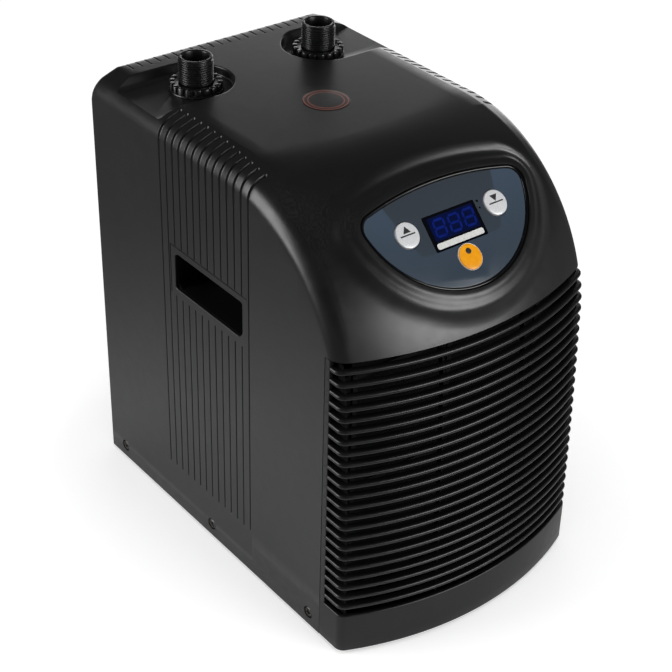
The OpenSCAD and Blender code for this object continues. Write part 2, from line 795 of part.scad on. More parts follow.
// Hand grip cups behind the openings in the side walls
cup_t = 2;
module grip_cup(s) {
    x1 = body_w / 2 - wall_t;
    color(c_dark)
        difference() {
            union() {
                grip_at(s, x1 - grip_in, x1) grip_shape(grip_l + 2 * cup_t, grip_h + 2 * cup_t, grip_r, grip_r);
                grip_at(s, x1 - cup_t, x1) square([frame_l, frame_h], center = true);
            }
            grip_at(s, x1 - grip_in + cup_t, x1 + over) grip_shape(grip_l, grip_h, grip_r, grip_r);
        }
}
grip_cup(-1);  // grip_pocket_left
grip_cup(1);  // grip_pocket_right

// Hose fittings, their seals and ring nuts
fit_r = thread_d / 2;
thread_t = 0.8;
flange_h = 4;
seal_t = 2;
under_floor = floor_z - wall_t;
boss_top = under_floor - seal_t - flange_h;
vessel_z = boss_top - 2 * flange_h - vessel_r;
rim_z = z_top + port_rise;
boss_r = fit_r + 2 * over;
shank_r = fit_r - thread_t;
thread_z = floor_z + nut_h + seat_gap;
module fitting(s) {
    color(c_dark)
        translate([s * port_x, port_y, 0])
            difference() {
                union() {
                    translate([0, 0, boss_top - flange_h]) cylinder(r = fit_r - 2 * over, h = 2 * flange_h);
                    translate([0, 0, boss_top]) cylinder(r = nut_d / 2, h = flange_h);
                    translate([0, 0, boss_top + flange_h - over])
                        cylinder(r = shank_r, h = thread_z - boss_top - flange_h + 2 * over);
                    translate([0, 0, thread_z]) cylinder(r = fit_r, h = rim_z - thread_z - wall_t / 3);
                    translate([0, 0, rim_z - wall_t / 3])
                        cylinder(r1 = fit_r, r2 = fit_r - wall_t / 3, h = wall_t / 3);
                }
                translate([0, 0, boss_top - 2 * flange_h]) cylinder(r = port_d / 2, h = rim_z);
            }
}
fitting(-1);  // inlet_fitting
fitting(1);  // outlet_fitting
notch_n = 16;
module ring_nut(s) {
    color(c_dark)
        translate([s * port_x, port_y, floor_z])
            difference() {
                union() {
                    cylinder(r = nut_d / 2, h = nut_h / 4);
                    cylinder(r = nut_d / 2 - over, h = nut_h);
                }
                translate([0, 0, -over]) cylinder(r = shank_r + run_gap, h = nut_h + 2 * over);
                for (i = [0:notch_n - 1]) rotate([0, 0, 360 * i / notch_n])
                    translate([nut_d / 2, 0, nut_h])
                        cube([nut_d / 6, nut_d / 14, 1.5 * nut_h], center = true);
            }
}
ring_nut(-1);  // inlet_ring_nut
ring_nut(1);  // outlet_ring_nut
module seal(s) {
    color("#101010")
        translate([s * port_x, port_y, under_floor - seal_t])
            difference() {
                cylinder(r = nut_d / 2 - over, h = seal_t);
                translate([0, 0, -over]) cylinder(r = shank_r + run_gap, h = seal_t + 2 * over);
            }
}
seal(-1);  // inlet_seal
seal(1);  // outlet_seal
label_r = 17.5;
label_t = 0.3;
label_rear = 142.9;
label_y = y_rear - label_rear;
label_disc();
module label_disc() {
    color("#3b3735") translate([0, label_y, z_top]) cylinder(r = label_r, h = label_t);
}

// Water vessel lying across the body under the two fittings
coil_tube_r = 4;
vessel_side = 26;
vessel_l = body_w - 2 * vessel_side;
vessel_t = 3;
cap_t = 8;
strap_w = 14;
leg_w = 12;
vessel_y = port_y;
vessel_barrel();
module vessel_barrel() {
    color("#2f3133")
        difference() {
            union() {
                translate([0, vessel_y, vessel_z]) rotate([0, 90, 0])
                    cylinder(r = vessel_r, h = vessel_l, center = true, $fn = 96);
                for (s = [-1, 1]) translate([s * port_x, port_y, vessel_z])
                    cylinder(r = boss_r, h = boss_top - vessel_z);
            }
            translate([0, vessel_y, vessel_z]) rotate([0, 90, 0])
                cylinder(r = vessel_r - vessel_t, h = vessel_l + 2 * over, center = true, $fn = 96);
            for (s = [-1, 1]) {
                translate([s * port_x, port_y, vessel_z]) cylinder(r = port_d / 2, h = vessel_r + scoop_r);
                translate([s * port_x, port_y, boss_top - flange_h])
                    cylinder(r = fit_r - 2 * over + run_gap, h = scoop_r);
            }
        }
}
stub_x = -vessel_l / 2 - cap_t - coil_tube_r;
vessel_caps();
module vessel_caps() {
    color("#3a3c3e")
        for (s = [-1, 1]) translate([s * vessel_l / 2, vessel_y, vessel_z]) rotate([0, s * 90, 0])
            difference() {
                union() {
                    cylinder(r = vessel_r + 2 * over, h = cap_t);
                    translate([0, 0, -cap_t]) cylinder(r = vessel_r - vessel_t - run_gap, h = cap_t + over);
                }
                translate([0, 0, -2 * cap_t]) cylinder(r = vessel_r - 3 * vessel_t, h = 2 * cap_t);
                if (s < 0) for (q = [0, 1]) translate([q * coil_r, 0, -2 * cap_t])
                    cylinder(r = coil_tube_r + run_gap, h = 4 * cap_t);
            }
}
coil_r = 26;
coil_turns = 5;
coil_n = 16;
coil_l = vessel_l - 6 * cap_t;
coil_sides = 8;
// Centre line: in through the left cap, along the winding, then back along the middle
coil_path = concat(
    [[stub_x, vessel_y, vessel_z + coil_r], [-coil_l / 2 - coil_r / 2, vessel_y, vessel_z + coil_r]],
    [for (i = [1:coil_turns * coil_n]) let (t = i / (coil_turns * coil_n), f = 360 * coil_turns * t)
        [coil_l * (t - 0.5), vessel_y - coil_r * sin(f), vessel_z + coil_r * cos(f)]],
    [[coil_l / 2 + coil_r / 4, vessel_y - coil_r * 0.4, vessel_z + coil_r * 0.75],
     [coil_l / 2 + coil_r / 3, vessel_y - coil_r * 0.3, vessel_z + coil_r * 0.3],
     [coil_l / 2, vessel_y, vessel_z], [stub_x, vessel_y, vessel_z]]);
function unit(v) = v / norm(v);
// Tube of radius r swept along points, its first side turned towards the vector first
module sweep(points, r, sides, first) {
    n = len(points);
    tan_at = [for (i = [0:n - 1]) unit(points[min(i + 1, n - 1)] - points[max(i - 1, 0)])];
    ups = [for (i = 0, u = first; i < n; i = i + 1,
                u = i < n ? unit(u - tan_at[i] * (u * tan_at[i])) : u) u];
    rows = [for (i = [0:n - 1]) let (u = unit(ups[i] - tan_at[i] * (ups[i] * tan_at[i])), v = cross(tan_at[i], u))
        [for (j = [0:sides - 1]) let (g = 360 * j / sides) points[i] + r * (cos(g) * u + sin(g) * v)]];
    polyhedron(points = [for (w = rows) each w],
               faces = concat([[for (j = [0:sides - 1]) j]],
                              [for (i = [0:n - 2]) for (j = [0:sides - 1])
                                  let (a = i * sides, k = (j + 1) % sides)
                                  each [[a + j, a + sides + j, a + k],
                                        [a + k, a + sides + j, a + sides + k]]],
                              [[for (j = [sides - 1:-1:0]) (n - 1) * sides + j]]));
}
titanium_coil();
module titanium_coil() {
    color("#9a9ea2") sweep(coil_path, coil_tube_r, coil_sides, [0, 0, 1]);
}

// Condenser: fin pack on tubes bent back and forth between two side plates
cond_w = body_w - 2 * cond_side;
cond_z = pan_z + pan_t + cond_foot;
cond_t = 2 * row_pitch;
cond_h = cond_rows * row_pitch;
tube_r = 4;
tube_gap = 0.15;
fin_t = 0.8;
cond_y = filter_y + filter_t + seat_gap + cond_t / 2;
side_t = 1.5;
lip_w = 10;
function tube_at(i, k) = [cond_y + (k - 0.5) * row_pitch, cond_z + (i + 0.5) * row_pitch];
module tube_holes(h, gap) {
    for (i = [0:cond_rows - 1]) for (k = [0, 1])
        translate([-h / 2, tube_at(i, k)[0], tube_at(i, k)[1]])
            rotate([0, 90, 0]) cylinder(r = tube_r + gap, h = h, $fn = 16);
}
condenser_fins();
module condenser_fins() {
    color("#b9bcc0")
        for (i = [0:fin_n - 1])
            translate([(i / (fin_n - 1) - 0.5) * (cond_w - 3 * fin_t), 0, 0])
                difference() {
                    translate([0, cond_y, cond_z + cond_h / 2])
                        cube([fin_t, cond_t - 2, cond_h - 2], center = true);
                    tube_holes(4 * fin_t, tube_gap);
                }
}
coil_out = 3;
bend_n = 6;
// Half circle from tube p to tube q beyond the side s, both as [y, z]
function hairpin(s, p, q) = let (m = (p + q) / 2, h = (q - p) / 2)
    [for (i = [0:bend_n]) let (f = 180 * i / bend_n, c = m - h * cos(f))
        [s * (cond_w / 2 + coil_out + norm(h) * sin(f)), c[0], c[1]]];
// One serpentine: along each rear tube, back along the front one, then down to the next row
serpentine = concat(
    [[-cond_w / 2 - coil_out, tube_at(cond_rows - 1, 1)[0], tube_at(cond_rows - 1, 1)[1]]],
    [for (i = [cond_rows - 1:-1:0])
        each concat(hairpin(1, tube_at(i, 1), tube_at(i, 0)),
                    i > 0 ? hairpin(-1, tube_at(i, 0), tube_at(i - 1, 1)) : [])],
    [[-cond_w / 2 - coil_out, tube_at(0, 0)[0], tube_at(0, 0)[1]]]);
condenser_coil();
module condenser_coil() {
    color(c_copper) sweep(serpentine, tube_r, coil_sides, [0, 0, 1]);
}
condenser_plates();
module condenser_plates() {
    color(c_steel)
        difference() {
            for (s = [-1, 1]) mirror([s > 0 ? 0 : 1, 0, 0]) {
                translate([cond_w / 2, cond_y - cond_t / 2, floor_top])
                    cube([side_t, cond_t, cond_z + cond_h - floor_top]);
                translate([cond_w / 2 - lip_w, cond_y - cond_t / 2, floor_top])
                    cube([lip_w + side_t, cond_t, side_t]);
            }
            tube_holes(2 * cond_w, tube_gap);
        }
}

// Fan: shroud, four-legged bracket, motor, shaft and blades
shroud_y = cond_y + cond_t / 2 + seat_gap;
shroud_d = 22;
shroud_t = 2;
fan_z = cond_z + cond_h / 2;
fan_gap = 3;
ring_y = shroud_y + shroud_d;
ring_l = 16;
hub_r = 24;
hub_l = 18;
shaft_r = 3;
motor_r = 32;
motor_l = 42;
blade_y = ring_y + ring_l / 2;
motor_y = blade_y + hub_l;
arm_share = 0.8;
leg_r = 4;
leg_at = cond_w / 2 * arm_share;
fan_shroud();
module fan_shroud() {
    w = cond_w + 2 * side_t;
    color(c_dark)
        difference() {
            union() {
                translate([0, shroud_y, fan_z]) rotate([-90, 0, 0])
                    linear_extrude(shroud_d) square([w, cond_h], center = true);
                translate([0, shroud_y, fan_z]) rotate([-90, 0, 0])
                    cylinder(r = fan_d / 2 + fan_gap + shroud_t, h = shroud_d + ring_l, $fn = 96);
                translate([0, shroud_y + shroud_d / 2, floor_top + (cond_z - floor_top) / 2])
                    cube([w, shroud_d, cond_z - floor_top], center = true);
            }
            translate([0, shroud_y - over, fan_z]) rotate([-90, 0, 0])
                linear_extrude(shroud_d - shroud_t + over)
                    square([w - 2 * shroud_t, cond_h - 2 * shroud_t], center = true);
            translate([0, shroud_y - over, fan_z]) rotate([-90, 0, 0])
                cylinder(r = fan_d / 2 + fan_gap, h = shroud_d + ring_l + 2 * over, $fn = 96);
            translate([0, shroud_y + shroud_d / 2 - shroud_t, (floor_top + cond_z) / 2])
                cube([w - 2 * shroud_t, shroud_d, cond_z - floor_top - 2 * shroud_t], center = true);
        }
}
fan_bracket();
module fan_bracket() {
    y1 = motor_y + motor_l / 2;
    color(c_steel)
        difference() {
            union() {
                for (sx = [-1, 1]) for (sz = [-1, 1])
                    translate([sx * leg_at, ring_y, fan_z + sz * leg_at]) rotate([-90, 0, 0])
                        cylinder(r = leg_r, h = y1 - ring_y + side_t, $fn = 24);
                for (a = [45, 135]) translate([0, y1, fan_z]) rotate([-90, 0, 0]) rotate([0, 0, a])
                    linear_extrude(side_t) square([2 * leg_at * sqrt(2), 3 * leg_r], center = true);
                translate([0, y1, fan_z]) rotate([-90, 0, 0]) cylinder(r = motor_r + 6, h = side_t);
            }
            translate([0, y1 - over, fan_z]) rotate([-90, 0, 0])
                cylinder(r = motor_r + seat_gap, h = side_t + 2 * over);
        }
}
fan_motor();
module fan_motor() {
    color("#4a4c4f")
        translate([0, motor_y, fan_z]) rotate([-90, 0, 0])
            difference() {
                union() {
                    cylinder(r = motor_r, h = motor_l);
                    translate([0, 0, motor_l / 2 - 2 * side_t]) cylinder(r = motor_r + 5, h = 2 * side_t);
                    translate([0, 0, motor_l]) cylinder(r = motor_r / 2, h = 4);
                }
                translate([0, 0, -over]) cylinder(r = shaft_r + run_gap, h = motor_l / 2 + over);
            }
}
fan_shaft();
module fan_shaft() {
    color(c_steel)
        translate([0, blade_y - hub_l / 2, fan_z]) rotate([-90, 0, 0])
            cylinder(r = shaft_r, h = hub_l * 1.5 + motor_l / 2 - over);
}
pitch_root = 42;
pitch_tip = 22;
chord_share = [0.55, 0.72, 0.86, 0.95, 0.86];
blade_t = 2;
fan_blade();
module fan_blade() {
    color("#1b1b1c")
        translate([0, blade_y, fan_z]) rotate([-90, 0, 0]) {
            difference() {
                union() {
                    translate([0, 0, -hub_l / 2]) cylinder(r = hub_r, h = hub_l);
                    for (i = [0:blade_n - 1]) rotate([0, 0, 360 * i / blade_n]) blade();
                }
                translate([0, 0, -hub_l / 2 + 3]) difference() {
                    cylinder(r = hub_r - 2, h = hub_l);
                    cylinder(r = 3 * shaft_r, h = hub_l);
                }
                translate([0, 0, -hub_l]) cylinder(r = shaft_r, h = 2 * hub_l);
            }
        }
}
// One blade: chord lines at growing radius, each turned to its own pitch
module blade() {
    nr = len(chord_share);
    nc = 6;
    rows = [for (k = [0:nr - 1])
        let (t = k / (nr - 1), r = hub_r - over + (fan_d / 2 - hub_r + over) * t,
             chord = fan_d * 0.36 * chord_share[k], p = pitch_root + (pitch_tip - pitch_root) * t)
        [for (j = [0:2 * nc - 1])
            let (up = j < nc, q = (up ? j : 2 * nc - 1 - j) / (nc - 1) - 0.5,
                 s = q * chord * cos(p), sweep = 14 * t, a = s / r * 180 / PI * 0.9 + sweep,
                 bow = 0.09 * chord * (1 - 4 * q * q),
                 half = blade_t * (1 - 1.4 * abs(q)) * (up ? 0.5 : -0.5))
            [r * cos(a), r * sin(a), q * chord * sin(p) + bow + half]]];
    np = 2 * nc;
    polyhedron(points = [for (r = rows) each r],
               faces = concat([for (i = [0:nr - 2]) for (j = [0:np - 1]) let (k = (j + 1) % np)
                                  each [[i * np + j, i * np + k, (i + 1) * np + j],
                                        [i * np + k, (i + 1) * np + k, (i + 1) * np + j]]],
                              [for (j = [0:nc - 2]) let (a = np - 1 - j)
                                  each [[a, j + 1, j], [a, a - 1, j + 1]]],
                              [for (j = [0:nc - 2]) let (a = nr * np - 1 - j, b = (nr - 1) * np + j)
                                  each [[a, b, b + 1], [a, b + 1, a - 1]]]));
}

// Compressor on its rubber mounts
comp_rear = 67.7;
comp_x = -body_w / 6;
comp_y = y_rear - comp_rear;
comp_h = 150;
comp_lift = 16;
comp_z = pan_z + pan_t + comp_lift;
comp_dome = 78;
comp_leg = 62;
grommet_r = 10;
grommet_h = 14;
stud_r = 3;
plate_r = 12;
comp_plate_t = 2.5;
module at_legs() {
    for (a = [45:90:315])
        translate([comp_x + comp_leg * cos(a), comp_y + comp_leg * sin(a), 0]) children();
}
compressor();
module compressor() {
    color("#161718")
        translate([comp_x, comp_y, comp_z + comp_plate_t]) {
            intersection() {
                cylinder(r = comp_r, h = comp_h, $fn = 96);
                translate([0, 0, comp_h - comp_dome * 1.1]) sphere(comp_dome * 1.1, $fn = 96);
                translate([0, 0, comp_dome]) sphere(comp_dome * 1.1, $fn = 96);
            }
            translate([0, 0, comp_h / 2]) cylinder(r = comp_r + comp_plate_t, h = 2 * comp_plate_t, $fn = 96);
        }
}
compressor_foot_plate();
module compressor_foot_plate() {
    l = 2 * (comp_leg / sqrt(2) + plate_r);
    color("#161718")
        difference() {
            translate([comp_x, comp_y, comp_z + comp_plate_t]) rounded_plate(l, l, comp_plate_t, plate_r);
            at_legs() translate([0, 0, comp_z - over])
                cylinder(r = grommet_r * 0.7 + seat_gap, h = 3 * comp_plate_t);
        }
}
compressor_grommets();
module compressor_grommets() {
    color("#101010")
        at_legs() translate([0, 0, floor_top])
            difference() {
                union() {
                    cylinder(r = grommet_r, h = comp_z - floor_top);
                    cylinder(r = grommet_r * 0.7, h = comp_z - floor_top + 2 * comp_plate_t);
                }
                translate([0, 0, -over]) cylinder(r = stud_r + seat_gap, h = 4 * grommet_h);
            }
}
compressor_studs();
module compressor_studs() {
    color(c_steel)
        at_legs() {
            translate([0, 0, floor_top]) cylinder(r = stud_r, h = comp_z - floor_top + 4 * comp_plate_t);
            translate([0, 0, comp_z + 2 * comp_plate_t]) cylinder(r = 2 * stud_r, h = stud_r, $fn = 6);
            translate([0, 0, comp_z + 2 * comp_plate_t]) cylinder(r = grommet_r * 0.9, h = 0.4 * stud_r);
        }
}
term_w = 34;
term_d = 30;
terminal_cover();
module terminal_cover() {
    color("#dcdcd6")
        difference() {
            translate([comp_x + comp_r + term_d / 4, comp_y, comp_z + comp_h * 0.62])
                cube([term_d, term_w, term_w * 1.4], center = true);
            translate([comp_x, comp_y, comp_z]) cylinder(r = comp_r + seat_gap, h = comp_h * 2, $fn = 96);
            translate([comp_x, comp_y, comp_z]) cylinder(r = comp_r + comp_plate_t + seat_gap, h = comp_h / 2 + 3 * comp_plate_t, $fn = 96);
        }
}
start_capacitor();
cap_r = 17;
can_h = 70;
can_side = 28;
can_ahead = 68;
blade_w = 6;
module start_capacitor() {
    color("#e4e4e0")
        translate([body_w / 2 - can_side, comp_y - can_ahead, floor_top]) {
            cylinder(r = cap_r + 2 * over, h = blade_w);
            cylinder(r = cap_r, h = can_h);
            for (s = [-1, 1]) translate([s * cap_r / 2, 0, can_h + blade_w / 3])
                cube([blade_w, over, 1.7 * blade_w], center = true);
            translate([0, 0, can_h - 2 * over]) cylinder(r = 0.82 * cap_r, h = 3 * over);
        }
}

// Refrigerant lines
line_r = 3.2;
bend_r = 5;
touch_gap = 0.1;
drier_r = 11;
drier_l = 70;
drier_side = 18;
drier_ahead = 84;
drier_x = -body_w / 2 + drier_side;
drier_y = comp_y - drier_ahead;
drier_z = 60;
left_x = -cond_w / 2 - coil_out;
low_z = cond_z - line_r - 2 * over;
hot_z = comp_z + comp_h * 0.82;
cold_z = comp_z + comp_h * 0.68;
hot_x = -body_w / 2 + wall_t + 2 * line_r + touch_gap * 6;
hot_y = shroud_y + 2 * line_r;
cap_line_r = 1.2;
cap_x = hot_x;
cap_ahead = 38;
cap_y = vessel_y - cap_ahead;
cap_z = 182;
filter_drier();
module filter_drier() {
    color(c_copper)
        translate([drier_x, drier_y, drier_z]) {
            cylinder(r = drier_r, h = drier_l);
            translate([0, 0, -drier_r]) cylinder(r1 = line_r + 2 * over, r2 = drier_r, h = drier_r);
            translate([0, 0, drier_l]) cylinder(r1 = drier_r, r2 = line_r, h = drier_r);
        }
}
liquid_pipe();
module liquid_pipe() {
    a = tube_at(0, 0);
    color(c_copper)
        pipe([[left_x, a[0], a[1]], [drier_x, a[0], a[1]], [drier_x, a[0], low_z],
              [drier_x, drier_y, low_z], [drier_x, drier_y, drier_z - drier_r]], line_r, bend_r);
}
discharge_pipe();
module discharge_pipe() {
    a = tube_at(cond_rows - 1, 1);
    color(c_copper)
        pipe([[comp_x - comp_r - touch_gap, comp_y, hot_z], [hot_x, comp_y, hot_z],
              [hot_x, hot_y, hot_z], [hot_x, hot_y, a[1]], [hot_x, a[0], a[1]],
              [left_x, a[0], a[1]]], line_r, bend_r);
}
suction_pipe();
module suction_pipe() {
    dy = vessel_y - comp_y;
    x1 = comp_x - sqrt(comp_r * comp_r - dy * dy) - 6 * touch_gap;
    color(c_copper)
        pipe([[stub_x, vessel_y, vessel_z], [stub_x - bend_r - over / 2, vessel_y, vessel_z],
              [stub_x - bend_r - over / 2, vessel_y, cold_z], [x1, vessel_y, cold_z]], line_r, bend_r);
}
capillary_tube();
module capillary_tube() {
    top = vessel_z + coil_r;
    color(c_copper)
        pipe([[drier_x, drier_y, drier_z + drier_l + drier_r], [drier_x, drier_y, cap_z],
              [cap_x, drier_y, cap_z], [cap_x, cap_y, cap_z], [cap_x, cap_y, top], [cap_x, vessel_y, top],
              [stub_x, vessel_y, top]], cap_line_r, 2.5 * cap_line_r);
}
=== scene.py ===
import bpy, bmesh, math
import numpy as np
from mathutils import Matrix, Vector
from mathutils.bvhtree import BVHTree


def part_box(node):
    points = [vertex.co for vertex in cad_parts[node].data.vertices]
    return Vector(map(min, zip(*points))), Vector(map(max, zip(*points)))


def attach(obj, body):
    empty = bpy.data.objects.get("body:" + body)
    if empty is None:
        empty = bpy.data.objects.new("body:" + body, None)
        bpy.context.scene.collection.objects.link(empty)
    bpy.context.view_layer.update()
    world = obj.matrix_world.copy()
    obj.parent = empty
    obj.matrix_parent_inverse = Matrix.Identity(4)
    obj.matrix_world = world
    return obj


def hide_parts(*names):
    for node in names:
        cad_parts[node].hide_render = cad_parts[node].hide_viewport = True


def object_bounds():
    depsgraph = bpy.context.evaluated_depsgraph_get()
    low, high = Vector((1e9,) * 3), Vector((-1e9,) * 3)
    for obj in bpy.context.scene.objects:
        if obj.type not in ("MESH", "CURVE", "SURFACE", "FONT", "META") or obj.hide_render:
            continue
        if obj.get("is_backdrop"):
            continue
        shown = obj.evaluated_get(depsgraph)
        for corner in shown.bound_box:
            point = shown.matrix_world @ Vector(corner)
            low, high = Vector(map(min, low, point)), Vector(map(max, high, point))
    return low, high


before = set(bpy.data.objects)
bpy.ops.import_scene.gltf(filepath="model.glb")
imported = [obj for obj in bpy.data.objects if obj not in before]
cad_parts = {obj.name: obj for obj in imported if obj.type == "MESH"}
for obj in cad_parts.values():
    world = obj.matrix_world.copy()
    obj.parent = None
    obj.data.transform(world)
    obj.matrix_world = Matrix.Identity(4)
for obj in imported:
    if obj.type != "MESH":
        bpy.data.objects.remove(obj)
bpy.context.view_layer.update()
mm = 0.001
tight = 1e-4    # points of one piece that are nearer than this many mm are joined


def linearColour(hexText):
    parts = [int(hexText[i:i + 2], 16) / 255 for i in (1, 3, 5)]
    return tuple(c / 12.92 if c <= 0.04045 else ((c + 0.055) / 1.055) ** 2.4 for c in parts) + (1.0,)


def addNode(tree, kind, inputs=None, stops=None, into=None, **settings):    # nodes and sockets are linked
    node = tree.nodes.new(kind)
    for key, value in settings.items():
        setattr(node, key, value)
    for key, value in (inputs or {}).items():
        value = value.outputs[0] if isinstance(value, bpy.types.Node) else value
        if isinstance(value, bpy.types.NodeSocket):
            tree.links.new(value, node.inputs[key])
        else:
            node.inputs[key].default_value = value
    if stops:    # each place on the ramp has a grey value or a hex colour
        while len(node.color_ramp.elements) < len(stops):
            node.color_ramp.elements.new(0.5)
        for element, (spot, tone) in zip(node.color_ramp.elements, stops):
            element.position = spot
            element.color = linearColour(tone) if isinstance(tone, str) else (tone, tone, tone, 1.0)
    if into:
        tree.links.new(node.outputs[0], into)
    return node


def newMaterial(name, shader):
    material = bpy.data.materials.new(name)
    material.use_nodes = True
    tree = material.node_tree
    tree.nodes.clear()
    surface = addNode(tree, "ShaderNodeBsdfPrincipled", shader)
    addNode(tree, "ShaderNodeOutputMaterial", {"Surface": surface})
    spot = addNode(tree, "ShaderNodeTexCoord").outputs["Object"]
    return material, tree, surface.inputs, spot


# objects and meshes, with points in mm
def newObject(name, data):
    piece = bpy.data.objects.new(name, data)
    bpy.context.scene.collection.objects.link(piece)
    return piece


def discard(*objects):
    for one in objects:
        bpy.data.objects.remove(one)


def readArray(items, name, width=1, kind=float):
    values = np.empty(len(items) * width, kind)
    items.foreach_get(name, values)
    return values.reshape(-1, width) if width > 1 else values


def newMesh(name, points, faces, weld=None, shortest=1e-7, fill=False):    # a weld of 0 only turns the faces
    mesh = bpy.data.meshes.new(name)
    mesh.from_pydata((np.asarray(points, float) * mm).tolist(), [], [tuple(map(int, f)) for f in faces])
    if weld is None:
        return mesh
    cleaner = bmesh.new()
    cleaner.from_mesh(mesh)
    if weld:
        bmesh.ops.remove_doubles(cleaner, verts=cleaner.verts, dist=weld * mm)
        bmesh.ops.dissolve_degenerate(cleaner, edges=cleaner.edges, dist=shortest)
    if fill:
        bmesh.ops.holes_fill(cleaner, edges=[e for e in cleaner.edges if e.is_boundary], sides=0)
    bmesh.ops.recalc_face_normals(cleaner, faces=cleaner.faces)
    cleaner.to_mesh(mesh)
    cleaner.free()
    return mesh


def finishMesh(name, mesh, material, smoothAngle=35.0):
    mesh.validate()
    mesh.shade_smooth()
    mesh.set_sharp_from_angle(angle=math.radians(smoothAngle))
    mesh.materials.clear()
    mesh.materials.append(material)
    return newObject(name, mesh)


def meshObject(name, points, faces, material, smoothAngle=35.0, weld=None):
    return finishMesh(name, newMesh(name, points, faces, weld), material, smoothAngle)


def cutterObject(name, points, faces):
    return newObject(name, newMesh(name, points, faces, 0))


def bakeChanges(piece):    # the mesh becomes what the modifiers make of it
    bpy.context.view_layer.update()
    result = bpy.data.meshes.new_from_object(piece.evaluated_get(bpy.context.evaluated_depsgraph_get()))
    old = piece.data
    piece.modifiers.clear()
    piece.data = result
    bpy.data.meshes.remove(old)


def cutAway(piece, cutters):
    for cutter in cutters:
        change = piece.modifiers.new("cut", "BOOLEAN")
        change.operation, change.solver, change.object = "DIFFERENCE", "MANIFOLD", cutter
        bakeChanges(piece)
    discard(*cutters)


def gridFaces(rows, columns, closed=False):
    faces = []
    for i in range(rows - 1):
        for j in range(columns if closed else columns - 1):
            k = (j + 1) % columns
            faces.append((i * columns + j, i * columns + k, (i + 1) * columns + k, (i + 1) * columns + j))
    return faces


def loft(rows, ends="capped"):    # closed outlines one after another; the ends are capped, open or joined
    rows = [np.asarray(r, float) for r in rows]
    count = len(rows[0])
    last = (len(rows) - 1) * count
    faces = gridFaces(len(rows), count, True)
    if ends == "capped":
        faces.append(tuple(range(count))[::-1])
        faces.append(tuple(last + j for j in range(count)))
    if ends == "joined":
        faces += [(last + j, last + (j + 1) % count, (j + 1) % count, j) for j in range(count)]
    return np.concatenate(rows), faces


def joinParts(parts):
    points, faces, start = [], [], 0
    for somePoints, someFaces in parts:
        points.append(np.asarray(somePoints, float))
        faces += [tuple(start + v for v in f) for f in someFaces]
        start += len(somePoints)
    return np.concatenate(points), faces


def atHeight(outline, height):
    outline = np.asarray(outline, float)
    return np.column_stack([outline, np.full(len(outline), float(height))])


def slab(outline, low, high):
    return loft([atHeight(outline, low), atHeight(outline, high)])


def ringAt(radius, height, count, centre=(0, 0)):
    a = np.linspace(0, 2 * math.pi, count, endpoint=False)
    return atHeight(np.stack([centre[0] + radius * np.cos(a), centre[1] + radius * np.sin(a)], 1), height)


def lathe(profile, count, centre=(0, 0), ends="open"):    # profile: (radius, height) pairs
    return loft([ringAt(radius, height, count, centre) for radius, height in profile], ends)


def roundedOutline(length, height, radii, steps=6):    # radii from the lower left, turning anticlockwise
    out = []
    for (sx, sy), r, a0 in zip(((-1, -1), (1, -1), (1, 1), (-1, 1)), radii, (180, 270, 0, 90)):
        a = np.radians(a0 + np.linspace(0, 90, steps + 1))
        out += [(sx * (length / 2 - r) + r * math.cos(f), sy * (height / 2 - r) + r * math.sin(f)) for f in a]
    return np.array(out)


def boxCutter(name, low, high):
    (x0, y0, z0), (x1, y1, z1) = low, high
    return cutterObject(name, *slab([(x0, y0), (x1, y0), (x1, y1), (x0, y1)], z0, z1))


def smoothStep(x):
    x = np.clip(x, 0, 1)
    return x * x * (3 - 2 * x)


# hood: the moulded skin follows one rule, so it is worked out from these sizes
hood = {"halfWidth": 114.0, "front": -171.7, "rear": 171.7, "edge": 3.0, "top": 350.4, "lip": 252.0,
        "seam": -121.1, "bow": 262.0, "corner": 8.0, "wall": 3.0, "dome": 142.0, "lean": 5.7,
        "shoulder": 16.7, "slopeWidth": 11.0, "slope": 20.0, "rearRound": 8.0, "uprightRound": 1.6}
flute = {"count": 14, "pitch": 8.528, "last": 77.2, "width": 1.5, "depth": 1.0, "bottom": 43.0,
         "inner": 93.5, "shorter": 5.0, "straight": 4,    # the rear five end in line, the others further out
         "broadWidth": 3.2, "broadDepth": 1.5, "broadFrom": 326.0, "broadOver": 9.0,    # over the shoulder
         "rows": [0, 0.25, 0.45, 0.6, 0.7, 0.76, 1.05, 1.3, 1.5, 1.62, 1.9]}    # mesh lines over half of one
ridge = {"count": 22, "pitch": 8.1, "width": 1.6, "depth": 1.0, "length": 17.0, "drop": 34.0,
         "rows": [0, 0.25, 0.5, 0.72, 0.8, 1.1]}    # the grooves over the rear top edge
grip = {"y": 17.8, "z": 230.2, "length": 86.3, "height": 30.4, "frame": 5.7, "corner": 4.0,
        "line": 0.9, "lineDepth": 0.45}
scoop = {"x": 57.0, "y": 113.3, "radius": 28.5, "depth": 7.4, "rim": 1.1, "slant": 5.0, "ramp": 3.0,
         "outward": 60.5, "hole": 13.5}
panel = {"y": -126.3, "z": 303.0, "tilt": 44.4, "topRadius": 260.0, "lowRadius": 71.2, "endRadius": 10.0,
         "top": 46.5, "low": -29.5, "seat": 2.6}
collar = {"lip": 1.6, "lipEnd": 6.5, "trough": 2.2, "troughAt": 10.5, "ridge": 1.5, "ridgeAt": 16.0,
          "end": 27.0, "soft": 1.2}
domeY = hood["front"] + hood["lean"] + hood["dome"]
domeZ = hood["top"] - hood["dome"]
domeStart = math.atan(2 * hood["lean"] / (domeZ - hood["edge"]))
leanTop = domeZ + hood["dome"] * math.sin(domeStart)


def bowAt(x):
    return hood["bow"] - np.sqrt(hood["bow"] ** 2 - np.asarray(x) ** 2)


def leanAt(z):
    z = np.asarray(z, float)
    low = hood["lean"] * ((z - hood["edge"]) / (domeZ - hood["edge"])) ** 2
    high = hood["lean"] + hood["dome"] - np.sqrt(np.maximum(hood["dome"] ** 2 - (z - domeZ) ** 2, 0))
    return np.where(z < leanTop, low, high)


